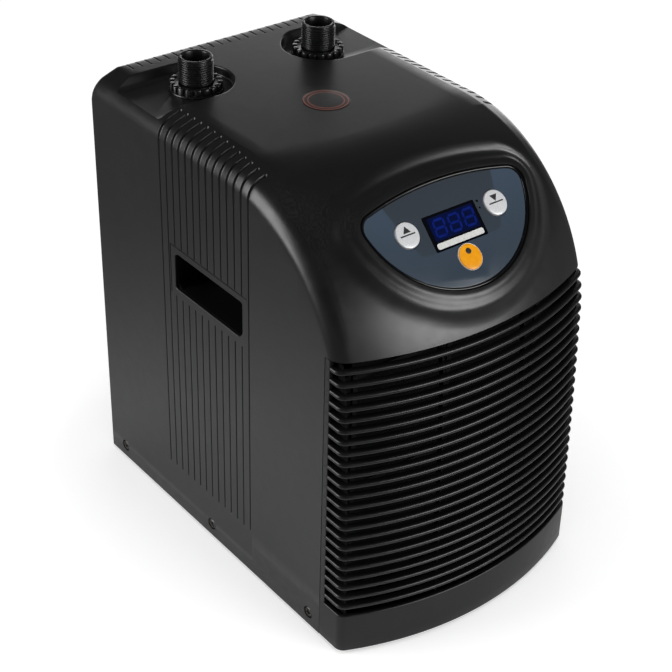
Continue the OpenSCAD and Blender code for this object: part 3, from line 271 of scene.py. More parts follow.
def halfSection(q, fade, inset):    # q runs over the flat (0-1), slope (1-2) and round shoulder (2-3)
    q, fade = np.broadcast_arrays(np.abs(q), fade)
    r = hood["corner"] + (hood["shoulder"] - hood["corner"]) * fade - inset
    a = math.radians(hood["slope"]) * fade
    w = hood["slopeWidth"] * fade
    flat = hood["halfWidth"] - inset - w - r * (1 - np.sin(a))
    f = a + (math.pi / 2 - a) * np.clip(q - 2, 0, 1)
    x = np.where(q < 2, flat + (q - 1) * w, flat + w - r * np.sin(a) + r * np.sin(f))
    n = np.where(q < 2, (q - 1) * w * np.tan(a), w * np.tan(a) + r * np.cos(a) - r * np.cos(f))
    return np.where(q < 1, q * flat, x), np.where(q < 1, 0, n) + inset


def skinPoint(t, q, inset=0.0):    # t: rear edge (0-1), top (1-2), dome (2-3), down to the floor (3-4)
    t, q = np.broadcast_arrays(np.asarray(t, float), np.asarray(q, float))
    rearR, rearY = hood["rearRound"] - inset, hood["rear"] - hood["rearRound"]
    f = np.pi / 2 * np.clip(1 - t, 0, 1)
    a = np.where(t < 2, np.pi / 2, np.pi / 2 - (np.pi / 2 - domeStart) * np.clip(t - 2, 0, 1))
    zLow = leanTop + (hood["edge"] - leanTop) * np.clip(t - 3, 0, 1)
    fade = np.where(t > 3, 0, (a / (np.pi / 2)) ** 1.5)
    a = np.where(t > 3, 0, a)
    y = np.where(t < 3, domeY - hood["dome"] * np.cos(a), hood["front"] + leanAt(zLow))
    y = np.where(t < 2, rearY + (domeY - rearY) * (t - 1), y)
    y = np.where(t < 1, rearY + rearR * np.sin(f), y)
    z = np.where(t < 2, hood["top"], np.where(t < 3, domeZ + hood["dome"] * np.sin(a), zLow))
    drop = np.where(t < 1, rearR * (1 - np.cos(f)), 0)
    x, n = halfSection(q, fade, inset)
    y = y + n * np.cos(a) + np.clip(t - 1, 0, 1) * bowAt(x)
    return np.stack([np.sign(q) * x, y, z - (n + drop) * np.sin(a)], -1)


def stationsAt(axis, value, q, first):    # where each column q reaches a y (axis 1) or a z (axis 2)
    dense = np.linspace(first, 3.0, 900)
    return np.array([np.interp(-value, -skinPoint(dense, one)[:, axis], dense) for one in q])


def bothSides(columns):
    columns = np.asarray(columns, float)
    return np.concatenate([-columns[:0:-1], columns])


def zipper(a, b, pa, pb):    # fills between two rows that may have different numbers of points
    faces, i, j = [], 0, 0
    while i < len(a) - 1 or j < len(b) - 1:
        if i < len(a) - 1 and j < len(b) - 1 and abs(pa[i + 1] - pb[j + 1]) < 1e-6:
            faces.append((a[i], a[i + 1], b[j + 1], b[j]))
            i, j = i + 1, j + 1
        elif j == len(b) - 1 or (i < len(a) - 1 and pa[i + 1] < pb[j + 1]):
            faces.append((a[i], a[i + 1], b[j]))
            i += 1
        else:
            faces.append((a[i], b[j + 1], b[j]))
            j += 1
    return faces


def panelArcs():    # a wide arc over a tighter one, joined by a small arc at each end
    top, low, end = panel["topRadius"], panel["lowRadius"], panel["endRadius"]
    v1, v2 = panel["top"] - top, panel["low"] + low
    q1, q2, gap = top - end, low - end, v2 - v1
    up = (q1 * q1 - q2 * q2 + gap * gap) / (2 * gap)
    u = math.sqrt(q1 * q1 - up * up)
    return v1, v2, u, v1 + up, math.atan2(up, u), math.atan2(v1 + up - v2, u)


def panelOutline(d, arcs=(60, 16, 90)):
    v1, v2, u, v, a1, a2 = panelArcs()
    half, full, end = math.pi, 2 * math.pi, panel["endRadius"]
    out = []
    for centre, radius, start, stop, n in (((0, v1), panel["topRadius"], a1, half - a1, arcs[0]),
                                           ((-u, v), end, half - a1, half - a2, arcs[1]),
                                           ((0, v2), panel["lowRadius"], half - a2, full + a2, arcs[2]),
                                           ((u, v), end, a2, a1, arcs[1])):
        f = np.linspace(start, stop, n, endpoint=False)
        out.append(np.stack([centre[0] + (radius + d) * np.cos(f), centre[1] + (radius + d) * np.sin(f)], 1))
    return np.concatenate(out)


def panelDistance(uv):    # signed distance from the plate's outline, positive outside
    v1, v2, uc, vc, a1, a2 = panelArcs()
    u, v = np.abs(uv[:, 0]), uv[:, 1]
    dTop = np.hypot(u, v - v1) - panel["topRadius"]
    dLow = np.hypot(u, v - v2) - panel["lowRadius"]
    dEnd = np.hypot(u - uc, v - vc) - panel["endRadius"]
    atEnd = (np.arctan2(v - v1, u) < a1) & (np.arctan2(v - v2, u) > a2) & (u > uc * 0.5)
    return np.where(atEnd, dEnd, np.maximum(dTop, dLow))


panelTilt = math.radians(panel["tilt"])
panelAcross = np.array([1.0, 0, 0])
panelUp = np.array([0, math.cos(panelTilt), math.sin(panelTilt)])
panelOut = np.array([0, -math.sin(panelTilt), math.cos(panelTilt)])
panelSpot = np.array([0, panel["y"], panel["z"]])


def toPanel(points):
    d = np.asarray(points, float) - panelSpot
    return np.stack([d @ panelAcross, d @ panelUp, d @ panelOut], 1)


def fromPanel(points):
    p = np.asarray(points, float)
    return panelSpot + p[:, :1] * panelAcross + p[:, 1:2] * panelUp + p[:, 2:3] * panelOut


def inPanel(part):
    return fromPanel(part[0]), part[1]


def gripEdges(more=0.0):    # the frame round the hand grip: y from and to, z from and to
    y, z = grip["length"] / 2 + grip["frame"] + more, grip["height"] / 2 + grip["frame"] + more
    return grip["y"] - y, grip["y"] + y, grip["z"] - z, grip["z"] + z


def fluteDepth(p):
    side = np.abs(p[:, 0])
    k = np.clip(np.round((flute["last"] - p[:, 1]) / flute["pitch"]), 0, flute["count"] - 1)
    broad = smoothStep((p[:, 2] - flute["broadFrom"]) / flute["broadOver"])
    half = (flute["width"] + (flute["broadWidth"] - flute["width"]) * broad) / 2
    start = flute["inner"] + flute["shorter"] * smoothStep((k - flute["straight"]) / (flute["count"] - 5))
    off = np.hypot(p[:, 1] - (flute["last"] - k * flute["pitch"]), np.maximum(start + half - side, 0)) / half
    groove = np.sqrt(np.clip(1 - off ** 2, 0, 1))    # round across and at the inner end
    y0, y1, z0, z1 = gripEdges(0.4)
    byFrame = (p[:, 1] > y0) & (p[:, 1] < y1) & (side > 110)
    clear = np.maximum(smoothStep((p[:, 2] - z1) / 0.6), smoothStep((z0 - p[:, 2]) / 0.8))
    deep = flute["depth"] + (flute["broadDepth"] - flute["depth"]) * broad
    return deep * groove * smoothStep(p[:, 2] - flute["bottom"]) * np.where(byFrame, clear, 1)


def ridgeDepth(p):
    half = (ridge["count"] - 1) / 2
    j = np.clip(np.round(p[:, 0] / ridge["pitch"] - 0.5) + 0.5, -half, half)
    off = np.abs(p[:, 0] - j * ridge["pitch"]) / (ridge["width"] / 2)
    front = smoothStep((p[:, 1] - (hood["rear"] - ridge["length"])) / 1.5)
    stop = smoothStep((p[:, 2] - (hood["top"] - ridge["drop"])) / 1.5)
    return ridge["depth"] * np.sqrt(np.clip(1 - off ** 2, 0, 1)) * front * stop


def collarLift(p):    # lip, trough and outer roll round the panel, as a height over the panel's plane
    u, v, w = toPanel(p).T
    d = panelDistance(np.stack([u, v], 1))
    lip, low = collar["lip"], collar["lip"] - collar["trough"]
    knots = [(-99, lip), (3.0, lip), (collar["lipEnd"], lip - 0.15), (collar["troughAt"], low),
             (collar["ridgeAt"], low + collar["ridge"] - 0.6), (collar["end"] - 5, low - 3.0),
             (collar["end"] + 10, lip - 9.0)]
    places, heights = zip(*knots)
    target = 0.5 * np.interp(d, places, heights)
    target += 0.25 * (np.interp(d - 1.2, places, heights) + np.interp(d + 1.2, places, heights))
    rise = target - w
    soft = 0.5 * (rise + np.sqrt(rise ** 2 + collar["soft"] ** 2))    # the collar grows out of the dome
    easy = np.where(d < 4, rise, rise + (soft - rise) * smoothStep((d - 4) / 2.5))
    fade = 1 - smoothStep((d - collar["lipEnd"]) / (collar["end"] - collar["lipEnd"]))
    zone = (np.abs(u) < 105) & (v > -70) & (v < 85) & (p[:, 1] < 10) & (d < collar["end"])
    return np.where(zone, np.where(d < collar["lipEnd"], easy, soft) * fade, 0)


def dressSkin(points, normals):    # flutes, rear grooves and the collar, all by place
    p = points - normals * (fluteDepth(points) + ridgeDepth(points))[:, None]
    return p + collarLift(p)[:, None] * panelOut


def skinRows():    # the skin's points row by row from the rear edge, each with its marks along the row
    flat = [0.0, 0.15, 0.3, 0.45, 0.6, 0.75, 0.88, 1.0, 1.008, 1.05]
    plain = bothSides(flat + list(np.arange(1.1, 1.8, 0.04)) + [1.86] + list(np.linspace(2, 3, 15)))
    flatWidth = float(halfSection(1.0, 1.0, 0)[0])
    grooves = [abs((k - (ridge["count"] - 1) / 2) * ridge["pitch"] + off) / flatWidth
               for k in range(ridge["count"] // 2, ridge["count"]) for off in bothSides(ridge["rows"])]
    roll = list(np.linspace(2, 3, 13))
    rear = bothSides([0.0] + sorted(grooves) + [1.0, 1.3, 1.6] + roll)
    collarColumns = bothSides(list(np.linspace(0, 1, 64)) + [1.25, 1.5, 1.75] + roll)
    frameLow, frameTop = gripEdges()[2:]
    grooveEnd = hood["top"] - ridge["drop"]
    levels = [grooveEnd + off for off in (2, 1.5, 1, 0.5, 0, -0.5)] + [300, 285, 268]
    levels += [frameTop + off for off in (1.5, 1.0, 0.8, 0.6, 0.4, 0.1)]
    levels += [frameLow - off for off in (0.1, 0.4, 0.6, 0.8, 1.2, 1.6)]
    levels += [170, 120, 80] + [flute["bottom"] + off for off in (1.4, 1, 0.7, 0.4, 0.2, 0, -0.5)] + [20, 3.0]
    fewLevels = [300, 268, 252, 180, 100, 43, 3.0]
    rows = []

    def addRow(stations, columns, some):
        section = skinPoint(stations, columns)
        end = section[-1]
        down = [z for z in some if z < end[2] - 0.8]
        right = np.array([[end[0], end[1], z] for z in down])
        marks = 3.5 + (400 - np.array(down)) / 100
        rows.append((np.concatenate([right[::-1] * [-1, 1, 1], section, right]),
                     np.concatenate([-marks[::-1], columns, marks])))

    for z in levels[::-1]:
        columns = rear if z > grooveEnd - 1 else plain
        x = np.sign(columns) * halfSection(columns, 1.0, 0)[0]
        rows.append((np.stack([x, np.full(len(x), hood["rear"]), np.full(len(x), z)], 1), columns))
    wallRows = len(rows)
    for t in (0, 0.06, 0.12, 0.2, 0.3, 0.42, 0.55, 0.7, 0.85, 1.0):
        addRow(np.full(len(rear), t), rear, levels)
    start = hood["rear"] - ridge["length"]
    for off in (2.5, 1.5, 1.1, 0.7, 0.3, 0, -0.5):
        addRow(stationsAt(1, start + off, rear, 1.0), rear, levels)
    for y in np.linspace(start - 6, flute["last"] + 4, 8):
        addRow(stationsAt(1, y, plain, 1.0), plain, levels)
    for k in range(flute["count"]):
        for off in bothSides(flute["rows"])[::-1]:
            addRow(stationsAt(1, flute["last"] - k * flute["pitch"] + off, plain, 1.0), plain, levels)
    lastY = flute["last"] - (flute["count"] - 1) * flute["pitch"] - flute["rows"][-1]
    atLast = stationsAt(1, lastY, collarColumns, 1.0)
    atLip = stationsAt(2, hood["lip"] - 3, collarColumns, 2.0)
    for share in np.linspace(0, 1, 126)[1:]:
        addRow(atLast + (atLip - atLast) * share, collarColumns, fewLevels)
    coarse = bothSides([0, 0.3, 0.6, 1.0, 1.5, 2, 2.3, 2.6, 2.8, 3])
    for t in (3.0, 3.2, 3.5, 3.75, 4.0):
        rows.append((skinPoint(np.full(len(coarse), t), coarse), coarse))
    return rows, wallRows


def skinMesh(name, rows, wallRows):
    points = np.concatenate([one for one, marks in rows])
    starts = np.cumsum([0] + [len(one) for one, marks in rows])
    index = [np.arange(a, b) for a, b in zip(starts, starts[1:])]
    lastFull = len(rows) - 6
    faces = []
    for k in range(len(rows) - 1):
        a, b, pa, pb = index[k], index[k + 1], rows[k][1], rows[k + 1][1]
        if k == wallRows - 1:
            b, pb = b[np.abs(pb) <= 3], pb[np.abs(pb) <= 3]
        if k == lastFull:
            a, pa = a[np.abs(pa) <= 3], pa[np.abs(pa) <= 3]
        faces += zipper(a, b, pa, pb)
    for side in (-1, 1):    # from the last full row down the wall to the ends of the coarse rows
        down = [i for i, m in zip(index[lastFull], rows[lastFull][1]) if m * side >= 3 - 1e-9][::side]
        ends = [down[0]] + [index[k][-1 if side > 0 else 0] for k in range(lastFull + 1, len(rows))]
        faces += zipper(down, ends, -points[down, 2], -points[ends, 2])
    r = hood["uprightRound"]
    dx = np.abs(points[:, 0]) - (hood["halfWidth"] - r)
    dy = points[:, 1] - (hood["rear"] - r)
    near = (dx > 0) & (dy > 0)
    far = np.maximum(dx, dy)[near] / np.maximum(np.hypot(dx, dy)[near], 1e-9)
    points[near, 0] = np.sign(points[near, 0]) * (hood["halfWidth"] - r + dx[near] * far)
    points[near, 1] = hood["rear"] - r + dy[near] * far
    return newMesh(name, points, faces, 0.02, 1e-6, True)


def scoopCutter(side, grow=0.0):    # steep behind and round the fitting, a short ramp towards the flutes
    r, deep = scoop["radius"] + (grow + 3 if grow else 0), scoop["depth"] + grow
    rim, floor = scoop["rim"], hood["top"] - deep
    inner = np.radians(np.linspace(90, 270, 33))
    levels = [(floor, 0), (hood["top"] + 8, 0)]
    if not grow:    # (height, widening) from the floor's fillet to the rounded rim
        levels = [(floor, -1.6), (floor + 0.25, -0.9), (floor + 0.8, -0.3)]
        levels += [(floor + deep * k, 0) for k in (0.22, 0.36, 0.5, 0.63, 0.76)]
        levels += [(hood["top"] - rim * (1 - c), rim * (1 - math.sqrt(1 - c * c)))
                   for c in (0.0, 0.4, 0.7, 0.9, 1.0)]
        levels += [(hood["top"] + 8, rim + 1)]
    rows = []
    for z, more in levels:
        share = min(1.0, (z - floor) / deep)
        slant = 0 if grow else scoop["slant"] * share
        ramp = 0 if grow else scoop["ramp"] * (0.5 - math.sin(math.asin(1 - 2 * share) / 3))
        row = [((r + more) * math.cos(f), (r + more) * math.sin(f)) for f in inner]
        row = [(x, y + float(smoothStep((x + r) / r)) * (slant if y > 0 else -ramp)) for x, y in row]
        row += [(scoop["outward"], -(r + more) - ramp), (scoop["outward"], r + more + slant)]
        rows.append([(side * (scoop["x"] + x), scoop["y"] + y, z) for x, y in row])
    return cutterObject("scoopCutter", *loft(rows))


def gripCutter(side):
    radii = [grip["corner"] * k for k in (1.6, 0.6, 1, 0.6)]
    rows = []
    for out, more in ((-6, 0), (-0.7, 0), (-0.25, 0.12), (0, 0.5), (2, 2.5)):
        line = roundedOutline(grip["length"] + 2 * more, grip["height"] + 2 * more, radii)
        rows.append([(side * (hood["halfWidth"] + out), grip["y"] + u, grip["z"] + v) for u, v in line])
    return cutterObject("gripCutter", *loft(rows))


def panelCutter(name, levels):    # levels: (height, widening) pairs of the plate's outline
    return cutterObject(name, *loft([fromPanel(atHeight(panelOutline(more), w)) for w, more in levels]))


def innerSpace():    # what the walls enclose, less the walls of the scoops and the panel's ledge
    wall, below = hood["wall"], -2.0
    stations = np.concatenate([np.linspace(0, 1, 6), np.linspace(2, 3, 24), [3.3, 3.6, 4.0]])
    q = bothSides([0, 0.25, 0.5, 0.75, 1, 1.5, 2, 2.2, 2.4, 2.6, 2.8, 3])
    columns, lines = len(q), len(stations)
    grid = [skinPoint(np.full(columns, one), q, wall) for one in stations]
    x, y = hood["halfWidth"] - wall, hood["rear"] - wall
    points = np.concatenate(grid + [[[-x, y, below], [x, y, below]]])
    points[points[:, 2] < hood["edge"] + 0.01, 2] = below
    left, right = lines * columns, lines * columns + 1
    faces = gridFaces(lines, columns)
    faces += [(left, (i + 1) * columns, i * columns) for i in range(lines - 1)]
    faces += [(right, i * columns + columns - 1, (i + 1) * columns + columns - 1) for i in range(lines - 1)]
    faces.append(tuple([left, right] + list(range(columns - 1, -1, -1)))[::-1])
    faces.append(tuple([right, left] + [(lines - 1) * columns + j for j in range(columns)])[::-1])
    inner = cutterObject("inner", points, faces)
    seat = panel["seat"] + 1.5
    ledge = panelCutter("ledge", ((-5.0, seat), (12.0, seat)))
    cutAway(inner, [scoopCutter(-1, wall), scoopCutter(1, wall), ledge])
    return inner


def hoodCutters():
    cutters = [innerSpace(), boxCutter("frontRoom", (-130, -190, -5), (130, hood["seam"], hood["lip"]))]
    y0, y1, z0, z1 = gripEdges()
    half = grip["line"] / 2
    for side in (-1, 1):
        centre = (side * scoop["x"], scoop["y"])
        port = lathe([(scoop["hole"], 320), (scoop["hole"], 360)], 64, centre, "capped")
        cutters += [scoopCutter(side), cutterObject("portHole", *port), gripCutter(side)]
        for y in sideScrew["y"]:
            rows = [[(side * x, y + u, sideScrew["z"] + v) for u, v, _ in ringAt(r, 0, 40)]
                    for x, r in sideScrew["recess"]]
            cutters.append(cutterObject("screwRecess", *loft(rows)))
        x0, x1 = sorted(side * (hood["halfWidth"] + out) for out in (-grip["lineDepth"], 1.5))
        cutters.append(boxCutter("lineTop", (x0, y0, z1 - half), (x1, y1 + half, z1 + half)))
        cutters.append(boxCutter("lineRear", (x0, y1 - half, z0), (x1, y1 + half, z1)))
    seat = panel["seat"]
    levels = [(-3.0, seat), (0.3, seat), (1.0, seat + 0.15), (collar["lip"] - 0.1, seat + 0.7),
              (14, seat + 5)]
    cutters += [panelCutter("seat", levels), panelCutter("ledgeHole", ((-30.0, -5.0), (5.0, -5.0)))]
    low, high = (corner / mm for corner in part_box("rear_panel"))
    lap = 5.7    # the rear panel lies this far over the edge of its opening
    low, high = (low.x + lap, 160, low.z + lap), (high.x - lap, 180, high.z - lap)
    cutters.append(boxCutter("rearOpening", low, high))
    return cutters


def makeHood(material):
    skin = skinMesh("skin", *skinRows())
    points = dressSkin(readArray(skin.vertices, "co", 3) / mm, readArray(skin.vertex_normals, "vector", 3))
    skin.vertices.foreach_set("co", (points * mm).ravel())
    skin.update()
    uncut = skin.copy()
    print("hood skin:", len(skin.polygons), "faces")
    shell = newObject("hood_shell", skin)
    cutAway(shell, hoodCutters())
    keepSkinNormals(shell.data, uncut)
    shell.data.materials.clear()
    shell.data.materials.append(material)
    return shell


def keepSkinNormals(mesh, uncut):    # skin is shaded as before the cuts, and the cut walls by their own faces
    corners = [p.vertices[:] for p in uncut.polygons]
    tree = BVHTree.FromPolygons([v.co for v in uncut.vertices], corners, epsilon=0)
    smooth = readArray(uncut.vertex_normals, "vector", 3)
    at = readArray(uncut.vertices, "co", 3)
    mesh.shade_smooth()
    mesh.set_sharp_from_angle(angle=math.radians(30))
    onSkin = np.zeros((len(mesh.vertices), 3))
    isOn = np.zeros(len(mesh.vertices), bool)
    for k, v in enumerate(mesh.vertices):
        spot, _, face, gap = tree.find_nearest(v.co, 0.03 * mm)
        if face is not None:
            around = list(corners[face])
            w = 1 / (np.linalg.norm(at[around] - np.array(spot), axis=1) + 1e-7) ** 2
            n = (smooth[around] * w[:, None]).sum(0)
            onSkin[k] = n / np.linalg.norm(n)
            isOn[k] = True
    vertexOf = readArray(mesh.loops, "vertex_index", kind=int)
    size = readArray(mesh.polygons, "loop_total", kind=int)
    faceOf = np.repeat(np.arange(len(mesh.polygons)), size)
    own = readArray(mesh.corner_normals, "vector", 3)
    allOn = np.bincount(faceOf, isOn[vertexOf]) == size
    sameWay = (onSkin[vertexOf] * readArray(mesh.polygons, "normal", 3)[faceOf]).sum(1) > 0.5
    fits = allOn[faceOf] & sameWay
    own[fits] = onSkin[vertexOf][fits]
    mesh.normals_split_custom_set(own.tolist())


# geometry node trees
def newTree(name, sockets):
    tree = bpy.data.node_groups.new(name, "GeometryNodeTree")
    for way in ("INPUT", "OUTPUT"):
        tree.interface.new_socket(name="Geometry", in_out=way, socket_type="NodeSocketGeometry")
    for title, kind in sockets:
        tree.interface.new_socket(name=title, in_out="INPUT", socket_type="NodeSocket" + kind)
    return tree, addNode(tree, "NodeGroupInput").outputs


def runTree(name, tree, values, points=(), turns=()):    # a piece made by the tree, from turned points if any
    mesh = newMesh(name, points, [])
    if len(points):
        turn = mesh.attributes.new("turn", "FLOAT_VECTOR", "POINT")
        turn.data.foreach_set("vector", np.array([tuple(t) for t in turns], float).ravel())
    piece = newObject(name, mesh)
    change = piece.modifiers.new(name, "NODES")
    change.node_group = tree
    titles = {item.name: item.identifier for item in tree.interface.items_tree if item.in_out == "INPUT"}
    for title, value in values.items():
        change[titles[title]] = value
    bakeChanges(piece)
    return piece


def copiesTree():    # one source piece set on every point, each turned as its point says
    tree, given = newTree("copiesOnPoints", (("Source", "Object"), ("Finish", "Material")))
    source = addNode(tree, "GeometryNodeObjectInfo", {"Object": given["Source"]})
    turn = addNode(tree, "GeometryNodeInputNamedAttribute", {"Name": "turn"}, data_type="FLOAT_VECTOR")
    rotation = addNode(tree, "FunctionNodeEulerToRotation", {"Euler": turn.outputs["Attribute"]})
    copies = addNode(tree, "GeometryNodeInstanceOnPoints", {
        "Points": given["Geometry"], "Instance": source.outputs["Geometry"], "Rotation": rotation})
    real = addNode(tree, "GeometryNodeRealizeInstances", {"Geometry": copies})
    ready = addNode(tree, "GeometryNodeSetMaterial", {
        "Geometry": real, "Material": given["Finish"]})
    addNode(tree, "NodeGroupOutput", {"Geometry": ready})
    return tree


def louvreTree():    # ribs one above the other, each set back as the front leans, their ends cut on the seam
    sizes = ("Pitch", "First Height", "Edge", "Lean", "Dome Radius", "Dome Height", "Lean Top", "Back")
    tree, given = newTree("louvreRows", [("Rib", "Object"), ("Count", "Int"), ("Finish", "Material")]
                          + [(title, "Float") for title in sizes])
    first = addNode(tree, "ShaderNodeCombineXYZ", {"Z": given["First Height"]})
    step = addNode(tree, "ShaderNodeCombineXYZ", {"Z": given["Pitch"]})
    line = addNode(tree, "GeometryNodeMeshLine", {
        "Count": given["Count"], "Start Location": first, "Offset": step})
    at = addNode(tree, "GeometryNodeInputPosition")
    known = {title: given[title] for title in sizes}
    known["z"] = addNode(tree, "ShaderNodeSeparateXYZ", {0: at}).outputs["Z"]
    for name, operation, *values in (    # the two forms of the lean, as in leanAt
            ("above", "SUBTRACT", "z", "Edge"), ("span", "SUBTRACT", "Dome Height", "Edge"),
            ("share", "DIVIDE", "above", "span"), ("square", "MULTIPLY", "share", "share"),
            ("low", "MULTIPLY", "square", "Lean"), ("over", "SUBTRACT", "z", "Dome Height"),
            ("radius2", "MULTIPLY", "Dome Radius", "Dome Radius"), ("over2", "MULTIPLY", "over", "over"),
            ("chord2", "SUBTRACT", "radius2", "over2"), ("chord", "SQRT", "chord2"),
            ("far", "ADD", "Lean", "Dome Radius"), ("high", "SUBTRACT", "far", "chord")):
        inputs = dict(enumerate(known.get(value, value) for value in values))
        known[name] = addNode(tree, "ShaderNodeMath", inputs, operation=operation)
    isLow = addNode(tree, "FunctionNodeCompare", {"A": known["z"], "B": given["Lean Top"]},
                    data_type="FLOAT", operation="LESS_THAN")
    back = addNode(tree, "GeometryNodeSwitch", {
        "Switch": isLow, "False": known["high"], "True": known["low"]}, input_type="FLOAT")
    shift = addNode(tree, "ShaderNodeCombineXYZ", {"Y": back})
    leant = addNode(tree, "GeometryNodeSetPosition", {
        "Geometry": line, "Offset": shift})
    rib = addNode(tree, "GeometryNodeObjectInfo", {"Object": given["Rib"]})
    rows = addNode(tree, "GeometryNodeInstanceOnPoints", {
        "Points": leant, "Instance": rib.outputs["Geometry"]})
    real = addNode(tree, "GeometryNodeRealizeInstances", {"Geometry": rows})
    at = addNode(tree, "GeometryNodeInputPosition")
    x, y, z = addNode(tree, "ShaderNodeSeparateXYZ", {0: at}).outputs
    end = addNode(tree, "ShaderNodeMath", {0: y, 1: given["Back"]}, operation="MINIMUM")
    cut = addNode(tree, "ShaderNodeCombineXYZ", {"X": x, "Y": end, "Z": z})
    ended = addNode(tree, "GeometryNodeSetPosition", {
        "Geometry": real, "Position": cut})
    ready = addNode(tree, "GeometryNodeSetMaterial", {
        "Geometry": ended, "Material": given["Finish"]})
    addNode(tree, "NodeGroupOutput", {"Geometry": ready})
    return tree


def nutTree():    # blocks stood in a ring, for the castellated edge of the nut
    tree, given = newTree("nutBlocks", (("Block", "Object"), ("Count", "Int"), ("Radius", "Float"),
                                        ("Height", "Float"), ("Finish", "Material")))
    ring = addNode(tree, "GeometryNodeMeshCircle", {"Vertices": given["Count"], "Radius": given["Radius"]})
    at = addNode(tree, "GeometryNodeInputPosition")
    turn = addNode(tree, "FunctionNodeAlignRotationToVector", {"Vector": at},
                   axis="X", pivot_axis="Z")
    lift = addNode(tree, "ShaderNodeCombineXYZ", {"Z": given["Height"]})
    block = addNode(tree, "GeometryNodeObjectInfo", {"Object": given["Block"]})
    copies = addNode(tree, "GeometryNodeInstanceOnPoints", {
        "Points": ring, "Instance": block.outputs["Geometry"], "Rotation": turn})
    real = addNode(tree, "GeometryNodeRealizeInstances", {"Geometry": copies})
    up = addNode(tree, "GeometryNodeSetPosition", {"Geometry": real, "Offset": lift})
    ready = addNode(tree, "GeometryNodeSetMaterial", {"Geometry": up, "Material": given["Finish"]})
    addNode(tree, "NodeGroupOutput", {"Geometry": ready})
    return tree


# louvred front
louvre = {"count": 23, "pitch": 9.1042, "height": 3.5, "depth": 5.0, "round": 1.5, "first": 44.354,
          "plinth": 37.0, "wall": 3.0, "gap": 0.3, "post": 5.2, "postEdge": 0.4}
brace = {"notch": 5.8, "out": 0.8, "in": 3.0, "halfAngle": 9.0,    # round the corner, behind the rib ends
         "bar": [(-0.9, 0), (0.9, 0), (0.9, 4.5), (-0.9, 4.5)], "lap": 0.05,    # upright bars behind the ribs
         "backing": 107.4, "thick": 1.2, "low": 24.0}    # closes the view from side to side, a dark wall that puts painted shade behind the side slots


def cornerPlace():    # centre of the round corner between the bow and a side wall
    cx = hood["halfWidth"] - hood["corner"]
    return cx, hood["front"] + hood["bow"] - math.sqrt((hood["bow"] - hood["corner"]) ** 2 - cx * cx)


def frontPath(inset, back, cornerSteps=9, bowSteps=56):
    corner, bow = hood["corner"] - inset, hood["bow"] - inset
    cx, cy = cornerPlace()
    turn = math.asin(cx / (hood["bow"] - hood["corner"]))
    a = math.pi + np.linspace(0, math.pi / 2 - turn, cornerSteps)
    left = np.stack([-cx + corner * np.cos(a), cy + corner * np.sin(a)], 1)
    a = 1.5 * math.pi + np.linspace(-turn, turn, bowSteps)[1:-1]
    middle = np.stack([bow * np.cos(a), hood["front"] + hood["bow"] + bow * np.sin(a)], 1)
    end = np.array([[-hood["halfWidth"] + inset, back]])
    return np.concatenate([end, left, middle, left[::-1] * [-1, 1], end * [-1, 1]])


def bandAlong(profile, back):    # profile: (inset, height) pairs swept along the front's plan
    rows = [atHeight(frontPath(inset, back), height) for inset, height in profile]
    count, last = len(rows[0]), (len(rows) - 1) * len(rows[0])
    faces = gridFaces(len(rows), count)
    faces += [(last + j, last + j + 1, j + 1, j) for j in range(count - 1)]
    faces.append(tuple(i * count for i in range(len(rows))))
    faces.append(tuple(i * count + count - 1 for i in range(len(rows)))[::-1])
    return np.concatenate(rows), faces


